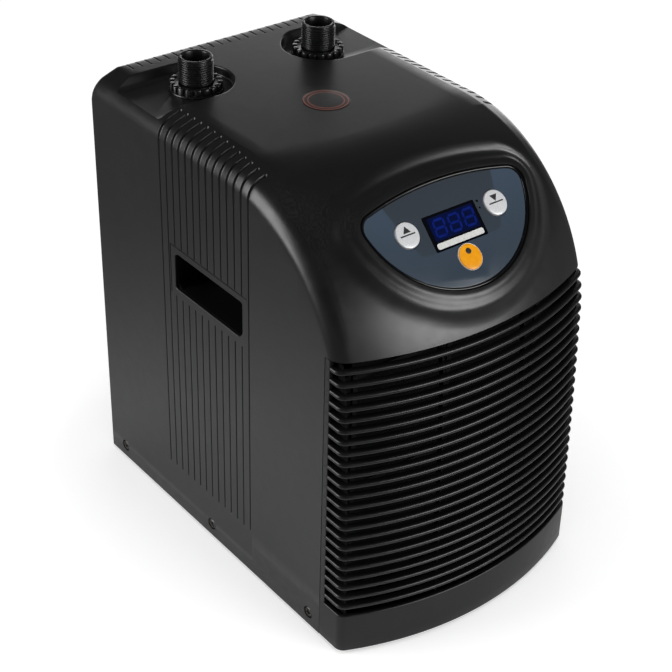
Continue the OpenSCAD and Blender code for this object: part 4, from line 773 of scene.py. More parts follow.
def makeFront(material, hiddenShade):
    h, r, d = louvre["height"] / 2, louvre["round"], louvre["depth"]
    half = [(d, h)] + [(r - r * math.sin(a), h - r + r * math.cos(a)) for a in np.linspace(0, math.pi / 2, 5)]
    profile = [(inset, -height) for inset, height in half] + half[::-1]
    back, zTop = hood["seam"] - louvre["gap"], hood["lip"] - louvre["gap"]
    rib = meshObject("rib", *bandAlong(profile, hood["seam"] + 30), material, 40, tight)
    ribs = runTree("louvre_ribs", louvreTree(), {
        "Rib": rib, "Count": louvre["count"], "Finish": material, "Pitch": louvre["pitch"] * mm,
        "First Height": louvre["first"] * mm, "Edge": hood["edge"] * mm, "Lean": hood["lean"] * mm,
        "Dome Radius": hood["dome"] * mm, "Dome Height": domeZ * mm, "Lean Top": leanTop * mm,
        "Back": back * mm})
    discard(rib)
    ribs.data.set_sharp_from_angle(angle=math.radians(40))
    e, top, w, post, b = hood["edge"], louvre["plinth"], louvre["wall"], louvre["post"], louvre["postEdge"]
    band = [(w, e), (0.8, e), (0.2, e + 0.2), (0, e + 0.8), (0, e + 10), (0, top - 1.2), (0.12, top - 0.6),
            (0.4, top - 0.2), (1.0, top), (w, top)]
    parts, braces = [bandAlong(band, back)], []
    cx, cy = cornerPlace()
    heights = np.linspace(top - 1, louvre["first"] + louvre["pitch"] * (louvre["count"] - 1) + h, 30)
    corner = hood["corner"] - brace["notch"]
    bend = np.radians(-45 + np.linspace(-brace["halfAngle"], brace["halfAngle"], 9))
    arc = [((corner + brace["out"]) * math.cos(f), (corner + brace["out"]) * math.sin(f)) for f in bend]
    arc += [((corner - brace["in"]) * math.cos(f), (corner - brace["in"]) * math.sin(f)) for f in bend[::-1]]
    barX = hood["halfWidth"] / 3
    barY = hood["front"] + float(bowAt(barX)) + d - brace["lap"]
    for side in (-1, 1):
        x0, x1 = side * (hood["halfWidth"] - w), side * hood["halfWidth"]
        x2 = x1 - side * b
        parts.append(slab([(x0, back), (x2, back), (x1, back - b), (x1, back - post + b), (x2, back - post),
                           (x0, back - post)], top - 0.6, zTop))
        braces.append(loft([[(side * (cx + x), cy + y + float(leanAt(z)), z) for x, y in arc]
                            for z in heights]))
        x0, x1 = side * brace["backing"], side * (brace["backing"] + brace["thick"])
        walls = []
        for z in np.linspace(brace["low"], hood["lip"] - 3, 24):
            y = cy + float(leanAt(z)) - 4
            walls.append([(x0, y, z), (x1, y, z), (x1, back - 1, z), (x0, back - 1, z)])
        braces.append(loft(walls))
        braces.append(loft([[(side * barX + x, barY + float(leanAt(z)) + y, z) for x, y in brace["bar"]]
                            for z in heights]))
    front = meshObject("front_frame", *joinParts(parts), material, 40, tight)
    return ribs, front, meshObject("front_braces", *joinParts(braces), hiddenShade, 40, tight)


# screws
sideScrew = {"y": [149.2, 19.9, -107.6], "roll": [0.3, 1.0, 0.15], "z": 14.1, "head": 4.3, "height": 1.7,
             "seat": 112.2, "recess": [(112.1, 3.9), (112.5, 4.6), (113.6, 4.75), (114.0, 5.05), (115, 6)]}
rearScrew = {"inset": 4.4, "y": 168.75}


def screwMesh(radius, height, material):    # pan head with a cross recess, its shank towards -Z
    profile = [(0.02, 1), (0.45, 1), (0.75, 0.9), (0.93, 0.65), (1, 0.35), (1, 0)]
    profile = [(radius * across, height * up) for across, up in profile]
    profile += [(radius * 0.45, 0), (radius * 0.45, -3.0), (radius * 0.02, -3.0)]
    head = cutterObject("screw", *lathe(profile, 32, ends="capped"))
    half, reach, deep = radius * 0.2, radius * 0.7, height * 0.85
    cross = []
    for x, y in ((reach, half), (half, reach)):
        rows = [[(-x * k, -y * k, z), (x * k, -y * k, z), (x * k, y * k, z), (-x * k, y * k, z)]
                for z, k in ((height - deep, 0.6), (height + 0.5, 1.1))]
        cross.append(cutterObject("cross", *loft(rows)))
    cutAway(head, cross)
    head.data.shade_smooth()
    head.data.set_sharp_from_angle(angle=math.radians(35))
    head.data.materials.append(material)
    return head


def makeScrews(material, copies):
    head = screwMesh(sideScrew["head"], sideScrew["height"], material)
    given = {"Source": head, "Finish": material}
    points, turns = [], []
    for side in (-1, 1):
        for y, roll in zip(sideScrew["y"], sideScrew["roll"]):
            points.append((side * sideScrew["seat"], y, sideScrew["z"]))
            turn = Matrix.Rotation(side * math.pi / 2, 3, "Y") @ Matrix.Rotation(roll, 3, "Z")
            turns.append(turn.to_euler())
    sides = runTree("side_screw_heads", copies, given, points, turns)
    low, high = (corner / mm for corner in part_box("rear_screws"))
    inset = rearScrew["inset"]
    points = [(x, rearScrew["y"], z) for x in (low.x + inset, high.x - inset)
              for z in (low.z + inset, high.z - inset)]
    rears = runTree("rear_screw_heads", copies, given, points, [(-math.pi / 2, 0, 0)] * len(points))
    discard(head)
    return sides, rears


# hose fittings
fitting = {"outer": 13.22, "bore": 10.3, "rim": 369.4, "start": 349.0, "pitch": 1.814, "thread": 1.1,
           "steps": 12, "around": 72, "nut": 20.75, "nutLow": 343.05, "nutHigh": 350.0, "nutGap": 0.12,
           "blocks": 18}


def threadMesh(centre):    # male thread as one winding rib, faded in and out at its two ends
    outer, bore, high, count = fitting["outer"], fitting["bore"], fitting["rim"], fitting["around"]
    low = fitting["start"] - 8
    heights = np.arange(low, high - 1.6, fitting["pitch"] / fitting["steps"])
    zz, aa = np.meshgrid(heights, np.linspace(0, 2 * math.pi, count, endpoint=False), indexing="ij")
    phase = (zz / fitting["pitch"] - aa / (2 * math.pi)) % 1.0
    tooth = smoothStep(1.12 - np.abs(phase - 0.5) * 2.6)
    fade = smoothStep(zz - fitting["start"] - 0.6) * smoothStep(high - 2.2 - zz)
    radii = outer - fitting["thread"] * (1 - tooth * fade)
    rim = [(outer - 0.55, high - 1.5), (outer - 0.45, high - 0.5), (outer - 0.75, high - 0.1),
           (outer - 1.1, high), (bore + 0.9, high), (bore + 0.3, high - 0.2), (bore, high - 0.8),
           (bore - 0.05, high - 12), (bore - 0.1, low)]
    return lathe(list(zip(radii, heights)) + rim, count, centre, "joined")


def makeFittings(plastic, nut):
    low, high, r = fitting["nutLow"], fitting["nutHigh"], fitting["nut"]
    tall, inner = high - low, fitting["outer"] + fitting["nutGap"]
    rows = []
    for z, x0, x1, w in ((0, -3.6, 0.0, 2.2), (tall - 0.9, -3.6, 0.0, 2.2), (tall - 0.25, -3.5, -0.25, 2.05),
                         (tall - 0.02, -3.1, -0.75, 1.6)):
        rows.append([(x0, -w, z), (x1 - 0.3, -w, z), (x1, -w + 0.4, z), (x1, w - 0.4, z), (x1 - 0.3, w, z),
                     (x0, w, z)])
    block = meshObject("block", *loft(rows), plastic, 30, tight)
    blocks = runTree("blocks", nut, {"Block": block, "Count": fitting["blocks"], "Radius": (r - 0.9) * mm,
                                     "Height": low * mm, "Finish": plastic})
    around = [p.vertices[:] for p in blocks.data.polygons]
    profile = [(inner, low), (r - 0.2, low), (r, low + 0.3), (r, low + 1.2), (r - 0.25, low + 1.55),
               (r - 1.6, low + 1.8), (r - 2.2, low + 2.4), (r - 2.4, high - 1.6), (r - 3.0, high - 1.0),
               (inner + 1.0, high - 0.8), (inner, high - 1.4), (inner, low)]
    made = []
    for side, word in ((-1, "inlet"), (1, "outlet")):
        centre = (side * scoop["x"], scoop["y"])
        thread = meshObject(word + "_thread", *threadMesh(centre), plastic, 100, tight)
        edge = readArray(blocks.data.vertices, "co", 3) / mm + [*centre, 0]
        parts = joinParts([lathe(profile, fitting["around"], centre), (edge, around)])
        made.append((word, thread, meshObject(word + "_nut", *parts, plastic, 40, tight)))
    discard(block, blocks)
    return made


# control panel: u across, v up and w out of the plate
keys = {"up": (-39.9, 18.6), "down": (39.9, 18.6), "set": (0.0, -10.2), "radius": 9.5, "gap": 0.3,
        "rise": 1.5}
window = {"halfWidth": 23.2, "low": 0.35, "high": 26.15, "corner": 1.2, "lift": 0.12, "gap": 0.25}
figure = {"u": -18.1, "v": 9.2, "width": 10.6, "height": 13.4, "thick": 1.75, "step": 13.2, "gap": 0.28,
          "lean": 0.12}
lampDots = [((26.3, 24.3), 0.95), ((26.1, 19.2), 0.8)]


def barPart(u0, v0, u1, v1, w0, w1, corner=0.4):
    outline = roundedOutline(u1 - u0, v1 - v0, (corner,) * 4, 5) + [(u0 + u1) / 2, (v0 + v1) / 2]
    return slab(outline, w0, w1)


def panelMap(piece):    # the film's colour zones follow the panel's own two directions, 1 unit = 100 mm
    at = toPanel(readArray(piece.data.vertices, "co", 3) / mm)
    vertexOf = readArray(piece.data.loops, "vertex_index", kind=int)
    layer = piece.data.uv_layers.new(name="panel")
    layer.data.foreach_set("uv", (at[vertexOf][:, :2] / 100 + 0.5).ravel())


def plateRows(levels):    # levels: (height, widening) pairs of the plate's outline
    return [atHeight(panelOutline(more, (48, 12, 64)), w) for w, more in levels]


def makePanel(finish):
    made = {}

    def addPart(name, part, tint, smoothAngle=40.0, weld=None):
        made[name] = meshObject(name, *inPanel(part), finish[tint], smoothAngle, weld)

    sheet = loft(plateRows(((-3.0, 0), (-0.35, 0), (-0.1, -0.12), (0.0, -0.4))))
    plate = cutterObject("plate", *inPanel(sheet))
    r, rise, lift = keys["radius"], keys["rise"], window["lift"]
    bore = r + keys["gap"]
    hole = ((bore, -8), (bore, -0.3), (bore + 0.35, 0.05), (bore + 2, 3))
    cutters = [cutterObject("hole", *inPanel(lathe(hole, 64, keys[name], "capped")))
               for name in ("up", "down", "set")]
    half, low, high, more = window["halfWidth"], window["low"], window["high"], window["gap"]
    opening = barPart(-half - more, low - more, half + more, high + more, -8, 3, window["corner"])
    cutAway(plate, cutters + [cutterObject("hole", *inPanel(opening))])
    made["panel_film"] = finishMesh("panel_film", plate.data.copy(), finish["film"], 30)
    discard(plate)
    panelMap(made["panel_film"])
    bead = ((-3.0, 0.3), (0.0, 0.3), (0.45, 0.45), (0.85, 0.8), (1.0, 1.25), (0.9, 1.7), (0.55, 2.1),
            (0.1, 2.3), (-3.0, 2.3))    # a half-round lip standing in the seat
    addPart("bead", loft(plateRows(bead), "joined"), "bead", 50, tight)
    cap = ((r - 0.05, -3.2), (r - 0.05, 0.2), (r - 0.15, rise - 0.55), (r - 0.45, rise - 0.2),
           (r - 0.95, rise), (r * 0.6, rise + 0.12), (r * 0.25, rise + 0.17), (0.02, rise + 0.18))
    w0, w1 = rise - 0.44, rise + 0.26    # the printed marks
    for name, tint in (("up", "silver"), ("down", "silver"), ("set", "orange")):
        u, v = keys[name]
        addPart("key_" + name, lathe(cap, 64, (u, v), "capped"), tint, 50)
        marks = [lathe(((2.2, w0), (2.2, w1 - 0.04), (2.0, w1)), 32, (u, v + 4.1), "capped")]    # a dot
        if name != "set":    # a triangle over a bar
            s, middle = (1 if name == "up" else -1), v + 3.6
            foot, tip = middle - 2.1 * s, middle + 2.8 * s
            marks = [slab([(u - 3.2, foot), (u + 3.2, foot), (u, tip)][::s], w0, w1)]
            marks.append(barPart(u - 6.2, v - 0.48, u + 6.2, v + 0.48, w0, w1, 0.2))
        addPart("mark_" + name, joinParts(marks), "print")
    rim = ((r, -1), (r + 0.22, -0.5), (r + 0.22, 0.75), (r + 0.1, 0.95), (r - 0.1, 0.9))
    addPart("rim_set", lathe(rim, 64, keys["set"]), "silver", 50)    # shows at the lower left of the cap
    addPart("lens", barPart(-half, low, half, high, -1.6, lift - 0.1, window["corner"]), "lens")
    # the field and figures below glow as painted light; the display itself is unlit
    addPart("lit_field", barPart(-19.8, 7.4, 20.6, 24.4, lift - 0.12, lift - 0.05, 0.6), "painted_glow")
    digits = []
    for k in range(3):
        digits += digitParts(figure["u"] + figure["step"] * k, figure["v"], lift - 0.06, lift + 0.02)
    addPart("digits", joinParts(digits), "digit")
    addPart("bare_strip", barPart(-20.9, 1.6, 20.9, 5.9, lift - 0.12, lift + 0.02, 1.6), "strip")
    dots = [lathe(((radius, -0.3), (radius, 0.03)), 24, centre, "capped") for centre, radius in lampDots]
    addPart("lamps", joinParts(dots), "bead")
    return made


def digitParts(u, v, w0, w1):    # seven-segment figure 8, leaning a little as such displays do
    t, gap, width, height = figure["thick"] / 2, figure["gap"], figure["width"], figure["height"]
    levels = (v + t, v + height / 2, v + height - t)
    shapes = []
    for y in levels:
        x0, x1 = u + t + gap, u + width - t - gap
        shapes.append([(x0, y), (x0 + t, y - t), (x1 - t, y - t), (x1, y), (x1 - t, y + t), (x0 + t, y + t)])
    for x in (u + t, u + width - t):
        for low, high in zip(levels, levels[1:]):
            y0, y1 = low + gap, high - gap
            shapes.append([(x, y0), (x + t, y0 + t), (x + t, y1 - t), (x, y1), (x - t, y1 - t),
                           (x - t, y0 + t)])
    return [slab([(x + figure["lean"] * (y - v), y) for x, y in shape], w0, w1) for shape in shapes]


def makeLabel(material):
    low, high = (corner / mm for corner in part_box("label_disc"))
    r, z = (high.x - low.x) / 2, low.z
    profile = ((r, z - 0.2), (r, z + 0.12), (r - 0.12, z + 0.2), (r - 0.4, z + 0.22))
    disc = lathe(profile, 96, ((low.x + high.x) / 2, (low.y + high.y) / 2), "capped")
    return meshObject("round_label", *disc, material, 50)


# finishes, each as name, colour, shader, layers of noise (socket, size in mm, low, high, detail)
# and grain (size in mm, strength, depth in mm)
finishTable = {
    # moulded ABS with a fine spark-eroded texture: satin black that greys softly under a wide light
    "abs": ("moulded_abs", "#111112", {"IOR": 1.53, "Roughness": 0.32},
            [("Base Color", 60, "#0f0f10", "#131314"), ("Roughness", 9, 0.3, 0.35)], (0.45, 0.22, 0.05)),
    # the same resin, smoother on the thin ribs where the mould is polished along the pull
    "ribs": ("moulded_abs_ribs", "#101011", {"IOR": 1.53, "Roughness": 0.3, "Specular IOR Level": 0.38},
             [("Base Color", 40, "#0e0e0f", "#121213"), ("Roughness", 6, 0.28, 0.34)], (0.45, 0.15, 0.04)),
    # glass-filled nylon of the threads and nuts: darker and glossier, with slight flow marks
    "nylon": ("filled_nylon", "#0e0e0f", {"IOR": 1.55, "Roughness": 0.32},
              [("Roughness", 4, 0.24, 0.32), ("Base Color", 8, "#0d0d0e", "#111112")], (0.3, 0.08, 0.03)),
    # black polypropylene of hidden mouldings and hand cups: dull, and darker than the ABS as painted shade,
    # so openings read as deep
    "dull": ("dull_polypropylene_painted_shade", "#050505", {"IOR": 1.49, "Roughness": 0.65, "Specular IOR Level": 0.2},
             [("Roughness", 12, 0.6, 0.72)], (0.6, 0.2, 0.05)),
    # poured polyurethane bead: wet black gloss with one thin highlight
    "bead": ("gloss_bead", "#070708", {"IOR": 1.5, "Roughness": 0.12}, [("Roughness", 5, 0.09, 0.16)], None),
    # silver-lacquered keys: pale, fine metallic sparkle under a satin coat
    "silver": ("silver_lacquer", "#c9cacb", {"Metallic": 0.25, "Roughness": 0.34},
               [("Base Color", 0.35, "#c9cacc", "#e2e3e4", 1.0), ("Roughness", 3, 0.3, 0.4)], None),
    # orange lacquered key, satin
    "orange": ("orange_lacquer", "#e09306", {"IOR": 1.5, "Roughness": 0.34},
               [("Base Color", 4, "#dd8f05", "#e69a0a"), ("Roughness", 3, 0.3, 0.38)], None),
    # pad-printed ink: matt grey-black, very thin
    "print": ("printed_ink", "#1d1c1c", {"Roughness": 0.55},
              [("Base Color", 0.6, "#171717", "#262524")], None),
    # acrylic lens over the display: deep black, glossy
    "lens": ("smoked_acrylic", "#030409", {"IOR": 1.49, "Roughness": 0.08},
             [("Roughness", 7, 0.06, 0.11)], None),
    # field behind the figures: painted glow, an uneven navy emission standing in for the deep blue of the
    # unlit display under its lens
    "painted_glow": ("lit_field", "#010208", {"Roughness": 0.15, "Emission Strength": 1.0},
            [("Emission Color", 14, "#00082c", "#010b3a")], None),
    # display figures: dim blue segments, also painted glow, given as emission though the display is unlit
    "digit": ("painted_glow_figures", "#02061a", {"Roughness": 0.15, "Emission Strength": 1.0},
              [("Emission Color", 6, "#04145a", "#071a68")], None),
    # bare printed strip under the figures: warm white ink
    "strip": ("white_ink", "#c8c8c6", {"Roughness": 0.4}, [("Base Color", 2.5, "#bfc0be", "#d0d0cd")], None),
    # blackened steel screws: dark metal, browner and duller in small patches
    "screw": ("blackened_steel", "#4a4a4c", {"Metallic": 1.0, "Roughness": 0.36},
              [("Base Color", 1.2, "#42403e", "#6e6a66"), ("Roughness", 0.7, 0.28, 0.45)], None),
    # galvanised sheet: cool grey with the soft crystal patches of the zinc, which makeFinishes adds
    "steel": ("galvanised_sheet", "#9fa3a6", {"Metallic": 1.0, "Roughness": 0.42}, [], None),
    # base pan of pressed steel, coloured near black as painted shade where it shows between the louvres
    "pan_shade": ("pan_sheet_painted_shade", "#0d0d0e", {"Roughness": 0.5},
               [("Base Color", 12, "#0b0b0c", "#101011"), ("Roughness", 5, 0.46, 0.56)], None),
    # drawn copper tube: warm metal, with browner oxidised stretches
    "copper": ("drawn_copper", "#b8714a", {"Metallic": 1.0, "Roughness": 0.3},
               [("Base Color", 16, "#a5603c", "#c98558"), ("Roughness", 5, 0.24, 0.42)], None),
    # stamped aluminium fins: bright, with the streaks of the rolling upright
    "fins": ("rolled_aluminium", "#b9bcbe", {"Metallic": 1.0, "Roughness": 0.35},
             [("Roughness", 2, 0.28, 0.46)], None),
    # titanium tube: dull grey-tan metal
    "titanium": ("titanium_tube", "#94908a", {"Metallic": 1.0, "Roughness": 0.4},
                 [("Base Color", 10, "#8a867f", "#9f9a92")], None),
    # nitrile rubber feet and seals: flat black with a fine pitted skin
    "rubber": ("nitrile_rubber", "#0e0e0e", {"Roughness": 0.78},
               [("Roughness", 3, 0.7, 0.85)], (0.5, 0.3, 0.06)),
    # black stoved enamel on the compressor: glossy with orange peel
    "enamel": ("stoved_enamel", "#0f0f10", {"Roughness": 0.2, "Coat Weight": 0.4},
               [("Roughness", 20, 0.17, 0.28)], (2.2, 0.2, 0.06)),
    # grey motor paint: satin
    "motor": ("motor_paint", "#565a5e", {"Roughness": 0.45},
              [("Base Color", 10, "#515559", "#5d6165")], None),
    # open-cell filter foam: matt with deep pores, each with painted shade in its hollow, which makeFinishes
    # adds
    "foam": ("filter_foam", "#060606", {"Roughness": 0.95, "Specular IOR Level": 0.15}, [], None),
    # solder mask over glass-fibre board: green gloss, slightly mottled
    "board": ("solder_mask", "#1a5632", {"Roughness": 0.3},
              [("Base Color", 1.5, "#174d2c", "#1f6139")], None),
    # white glass-filled nylon of the terminal cover and capacitor can
    "white": ("white_nylon", "#cfcfc8", {"Roughness": 0.45}, [("Base Color", 8, "#c8c8c0", "#d6d6d0")], None),
    # injection-moulded water vessel: dark satin with knit-line mottle
    "vessel": ("vessel_moulding", "#2e2f31", {"Roughness": 0.4},
               [("Base Color", 18, "#292a2c", "#343638")], None),
    # dark satin sticker, bare but for two fine printed rings, which labelRings adds
    "label": ("bare_sticker", "#161515", {"Roughness": 0.33}, [("Roughness", 6, 0.3, 0.36)], None),
}
cellSizes = {"steel": 7.0, "foam": 1.6}    # mm of one zinc crystal and of one pore


def makeFinishes():
    made = {"film": filmFinish()}
    for key, (name, colour, shader, layers, grain) in finishTable.items():
        made[key], tree, shade, spot = newMaterial(name, {"Base Color": linearColour(colour), **shader})
        if key == "fins":
            spot = addNode(tree, "ShaderNodeMapping", {"Vector": spot, "Scale": (1.0, 1.0, 0.06)})
        for socket, size, low, high, *detail in layers:
            noise = addNode(tree, "ShaderNodeTexNoise", {
                "Vector": spot, "Scale": 1 / (size * mm), "Detail": (*detail, 4.0)[0], "Roughness": 0.55})
            addNode(tree, "ShaderNodeValToRGB", {"Fac": noise}, [(0.35, low), (0.65, high)], shade[socket])
        if grain:
            size, strength, depth = grain
            noise = addNode(tree, "ShaderNodeTexNoise", {
                "Vector": spot, "Scale": 1 / (size * mm), "Detail": 3.0, "Roughness": 0.6})
            addNode(tree, "ShaderNodeBump", {"Strength": strength, "Distance": depth * mm, "Height": noise},
                    into=shade["Normal"])
        if key in cellSizes:
            cells = addNode(tree, "ShaderNodeTexVoronoi", {
                "Vector": spot, "Scale": 1 / (cellSizes[key] * mm)}).outputs
        if key == "steel":
            addNode(tree, "ShaderNodeValToRGB", {"Fac": cells["Color"]}, [(0.2, "#8d9194"), (0.8, "#aeb2b5")],
                    shade["Base Color"])
            addNode(tree, "ShaderNodeValToRGB", {"Fac": cells["Color"]}, [(0.2, 0.34), (0.8, 0.5)],
                    shade["Roughness"])
        if key == "foam":
            # painted shade: each pore darkens towards its hollow centre
            poreShade = [(0.1, "#020202"), (0.5, "#0a0a0a")]
            addNode(tree, "ShaderNodeValToRGB", {"Fac": cells["Distance"]}, poreShade, shade["Base Color"])
            addNode(tree, "ShaderNodeBump", {
                "Strength": 0.8, "Distance": 0.6 * mm, "Height": cells["Distance"]}, into=shade["Normal"])
        if key == "label":
            labelRings(tree, shade, spot)
    return made


def labelRings(tree, shade, spot):
    low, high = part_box("label_disc")
    centre = addNode(tree, "ShaderNodeMapping", {
        "Vector": spot, "Location": (-(low.x + high.x) / 2, -(low.y + high.y) / 2, 0.0),
        "Scale": (1.0, 1.0, 0.0)})
    reach = addNode(tree, "ShaderNodeVectorMath", {0: centre}, operation="LENGTH").outputs["Value"]
    share = addNode(tree, "ShaderNodeMath", {0: reach, 1: (high.x - low.x) / 2}, operation="DIVIDE")
    bare, ink = "#161515", "#7c4234"
    stops = [(0.0, bare)]
    for start in (0.735, 0.905):
        stops += [(start, bare), (start + 0.015, ink), (start + 0.04, ink), (start + 0.055, bare)]
    addNode(tree, "ShaderNodeValToRGB", {"Fac": share}, stops, shade["Base Color"])


def filmFinish():    # printed polycarbonate film: slate blue, a darker shield round the display, satin sheen
    material, tree, shade, spot = newMaterial("printed_film", {"Roughness": 0.22, "IOR": 1.5})
    uv = addNode(tree, "ShaderNodeUVMap", uv_map="panel")
    centred = addNode(tree, "ShaderNodeMapping", {
        "Vector": uv, "Location": (-50.0, -50.0, 0.0), "Scale": (100.0, 100.0, 1.0)})
    split = addNode(tree, "ShaderNodeSeparateXYZ", {0: centred})
    known = {"u": split.outputs["X"], "v": split.outputs["Y"]}
    for name, operation, *values in (    # the shield's sides lean outwards from a rounded foot
            ("slope", "MULTIPLY", "v", 0.3), ("edge", "ADD", "slope", 36.4), ("off", "ABSOLUTE", "u"),
            ("side", "SUBTRACT", "edge", "off"), ("foot", "SUBTRACT", "v", 0.2),
            ("within", "SMOOTH_MIN", "side", "foot", 9.0), ("amount", "MULTIPLY", "within", 3.0)):
        inputs = dict(enumerate(known.get(value, value) for value in values))
        known[name] = addNode(tree, "ShaderNodeMath", inputs, operation=operation)
    shield = addNode(tree, "ShaderNodeClamp", {"Value": known["amount"], "Min": 0.0, "Max": 1.0})
    glow = addNode(tree, "ShaderNodeMapRange", {
        "Value": known["v"], "From Min": -30.0, "From Max": 46.0, "To Min": 0.0, "To Max": 1.0})
    outer = addNode(tree, "ShaderNodeMix", {
        "Factor": glow, 6: linearColour("#2f3a45"), 7: linearColour("#3d4957")}, data_type="RGBA")
    inner = addNode(tree, "ShaderNodeMix", {
        "Factor": glow, 6: linearColour("#323b45"), 7: linearColour("#333940")}, data_type="RGBA")
    both = addNode(tree, "ShaderNodeMix", {
        "Factor": shield, 6: outer.outputs[2], 7: inner.outputs[2]}, data_type="RGBA")
    fleck = addNode(tree, "ShaderNodeTexNoise", {"Vector": spot, "Scale": 1 / (0.5 * mm), "Detail": 2.0})
    tone = addNode(tree, "ShaderNodeMix", {"Factor": 0.12, 6: both.outputs[2]}, data_type="RGBA",
                   blend_type="MULTIPLY")
    addNode(tree, "ShaderNodeValToRGB", {"Fac": fleck}, [(0.3, 0.7), (0.7, 1.0)], tone.inputs[7])
    addNode(tree, "ShaderNodeValToRGB", {"Fac": fleck}, [(0.3, 0.2), (0.7, 0.25)], shade["Roughness"])
    tree.links.new(tone.outputs[2], shade["Base Color"])
    return material


# studio
camera = {"spot": (-0.6761, -0.8340, 0.8629), "yaw": 38.7, "pitch": 33.2, "roll": 0.0268, "lens": 88.16}
softBoxes = {    # two large ones, a low weak one behind, and a fill from above that leaves no mirror image
    "left_box": {"spot": (-1.81, 0.84, 0.8), "aim": (0, 0, 0.3), "size": (0.95, 1.5), "power": 30.0,
                 "mirrored": True},
    "front_box": {"spot": (0.72, -1.95, 0.62), "aim": (0, 0, 0.3), "size": (1.4, 1.15), "power": 34.0,
                  "mirrored": True},
    "rear_box": {"spot": (0.92, 0.92, 0.38), "aim": (0, 0, 0.3), "size": (1.2, 0.66), "power": 5.4,
                 "mirrored": True},
    "top_fill": {"spot": (-0.1, -0.2, 1.9), "aim": (0, 0, 0), "size": (1.3, 1.3), "power": 20.0,
                 "mirrored": False},
}


def makeStudio():
    scene = bpy.context.scene
    yaw, pitch, roll = math.radians(camera["yaw"]), math.radians(camera["pitch"]), camera["roll"]
    ahead = Vector((math.sin(yaw) * math.cos(pitch), math.cos(yaw) * math.cos(pitch), -math.sin(pitch)))
    right = Vector((math.cos(yaw), -math.sin(yaw), 0))
    up = right.cross(ahead)
    across = math.cos(roll) * right + math.sin(roll) * up
    upward = -math.sin(roll) * right + math.cos(roll) * up
    data = bpy.data.cameras.new("camera")
    data.lens, data.sensor_width, data.sensor_fit = camera["lens"], 36.0, "HORIZONTAL"
    data.clip_start, data.clip_end = 0.05, 50
    view = newObject("camera", data)
    view.matrix_world = Matrix((across, upward, -ahead)).transposed().to_4x4()
    view.location = camera["spot"]
    scene.camera = view
    scene.view_settings.view_transform = "Standard"
    for name, box in softBoxes.items():
        light = bpy.data.lights.new(name, "AREA")
        light.shape, light.energy = "RECTANGLE", box["power"]
        light.size, light.size_y = box["size"]
        one = newObject(name, light)
        one.location, one.visible_glossy = box["spot"], box["mirrored"]
        one.rotation_euler = (Vector(box["aim"]) - Vector(box["spot"])).to_track_quat("-Z", "Y").to_euler()
    scene.world = studioWorld()
    floor = meshObject("floor", [(-6000, -6000, 0), (6000, -6000, 0), (6000, 6000, 0), (-6000, 6000, 0)],
                       [(0, 1, 2, 3)], floorFinish())
    floor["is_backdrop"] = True
    print("studio: camera, floor and", len(softBoxes), "lamps")


def studioWorld():    # white to the camera; a dark room with a pale sweep in mirror images
    world = bpy.data.worlds.new("studio")
    world.use_nodes = True
    tree = world.node_tree
    tree.nodes.clear()
    way = addNode(tree, "ShaderNodeTexCoord").outputs["Generated"]
    height = addNode(tree, "ShaderNodeSeparateXYZ", {0: way})
    sweep = addNode(tree, "ShaderNodeMapRange", {
        "Value": height.outputs["Z"], "From Min": 0.03, "From Max": 0.2, "To Min": 0.2, "To Max": 0.0})
    path = addNode(tree, "ShaderNodeLightPath").outputs
    known = {"camera": path["Is Camera Ray"], "through": path["Is Transmission Ray"],
             "mirror": path["Is Glossy Ray"], "sweep": sweep}
    for name, operation, *values in (
            ("seen", "ADD", "camera", "through"), ("pale", "MULTIPLY", "mirror", "sweep"),
            ("white", "MULTIPLY", "seen", 0.95), ("sum", "ADD", "pale", "white"),
            ("light", "ADD", "sum", 0.05)):
        inputs = dict(enumerate(known.get(value, value) for value in values))
        known[name] = addNode(tree, "ShaderNodeMath", inputs, operation=operation)
    back = addNode(tree, "ShaderNodeBackground", {"Color": (1.0, 1.0, 1.0, 1.0), "Strength": known["light"]})
    addNode(tree, "ShaderNodeOutputWorld", {"Surface": back})
    return world


def floorFinish():    # matt paper, pale near the chiller and darker further out as a painted pool of lamp light; lifted to white for the camera as the lamps fall off, so only the soft shadow shows
    material = bpy.data.materials.new("paper_floor")
    material.use_nodes = True
    tree = material.node_tree
    tree.nodes.clear()
    path = addNode(tree, "ShaderNodeLightPath").outputs
    spot = addNode(tree, "ShaderNodeTexCoord").outputs["Object"]
    reach = addNode(tree, "ShaderNodeVectorMath", {0: spot}, operation="LENGTH").outputs["Value"]
    lift = addNode(tree, "ShaderNodeValToRGB", {"Fac": reach}, [(0.25, 0.48), (0.42, 0.8), (0.62, 1.0)])
    known = {"camera": path["Is Camera Ray"], "through": path["Is Transmission Ray"],
             "mirror": path["Is Glossy Ray"], "lift": lift}
    for name, operation, *values in (
            ("direct", "ADD", "camera", "through"), ("weak", "MULTIPLY", "mirror", 0.15),
            ("seen", "ADD", "direct", "weak"), ("strength", "MULTIPLY", "seen", "lift")):
        inputs = dict(enumerate(known.get(value, value) for value in values))
        known[name] = addNode(tree, "ShaderNodeMath", inputs, operation=operation)
    paper = addNode(tree, "ShaderNodeBsdfDiffuse")
    # painted light: the paper's colour falls from pale near the chiller to near black further out, a pool of
    # lamp light painted on for the black plastic to mirror
    addNode(tree, "ShaderNodeValToRGB", {"Fac": reach}, [(0.27, 0.68), (0.42, 0.3), (0.62, 0.05)],
            paper.inputs["Color"])
    glow = addNode(tree, "ShaderNodeEmission", {"Strength": known["strength"]})
    total = addNode(tree, "ShaderNodeAddShader", {0: paper, 1: glow})
    addNode(tree, "ShaderNodeOutputMaterial", {"Surface": total})
    return material


# the whole chiller
def place(piece, body, slot, *nodes):
    if nodes:
        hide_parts(*nodes)
    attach(piece, body)


finish = makeFinishes()
copies = copiesTree()
makeStudio()

place(makeHood(finish["abs"]), "chassis", "shell", "hood")
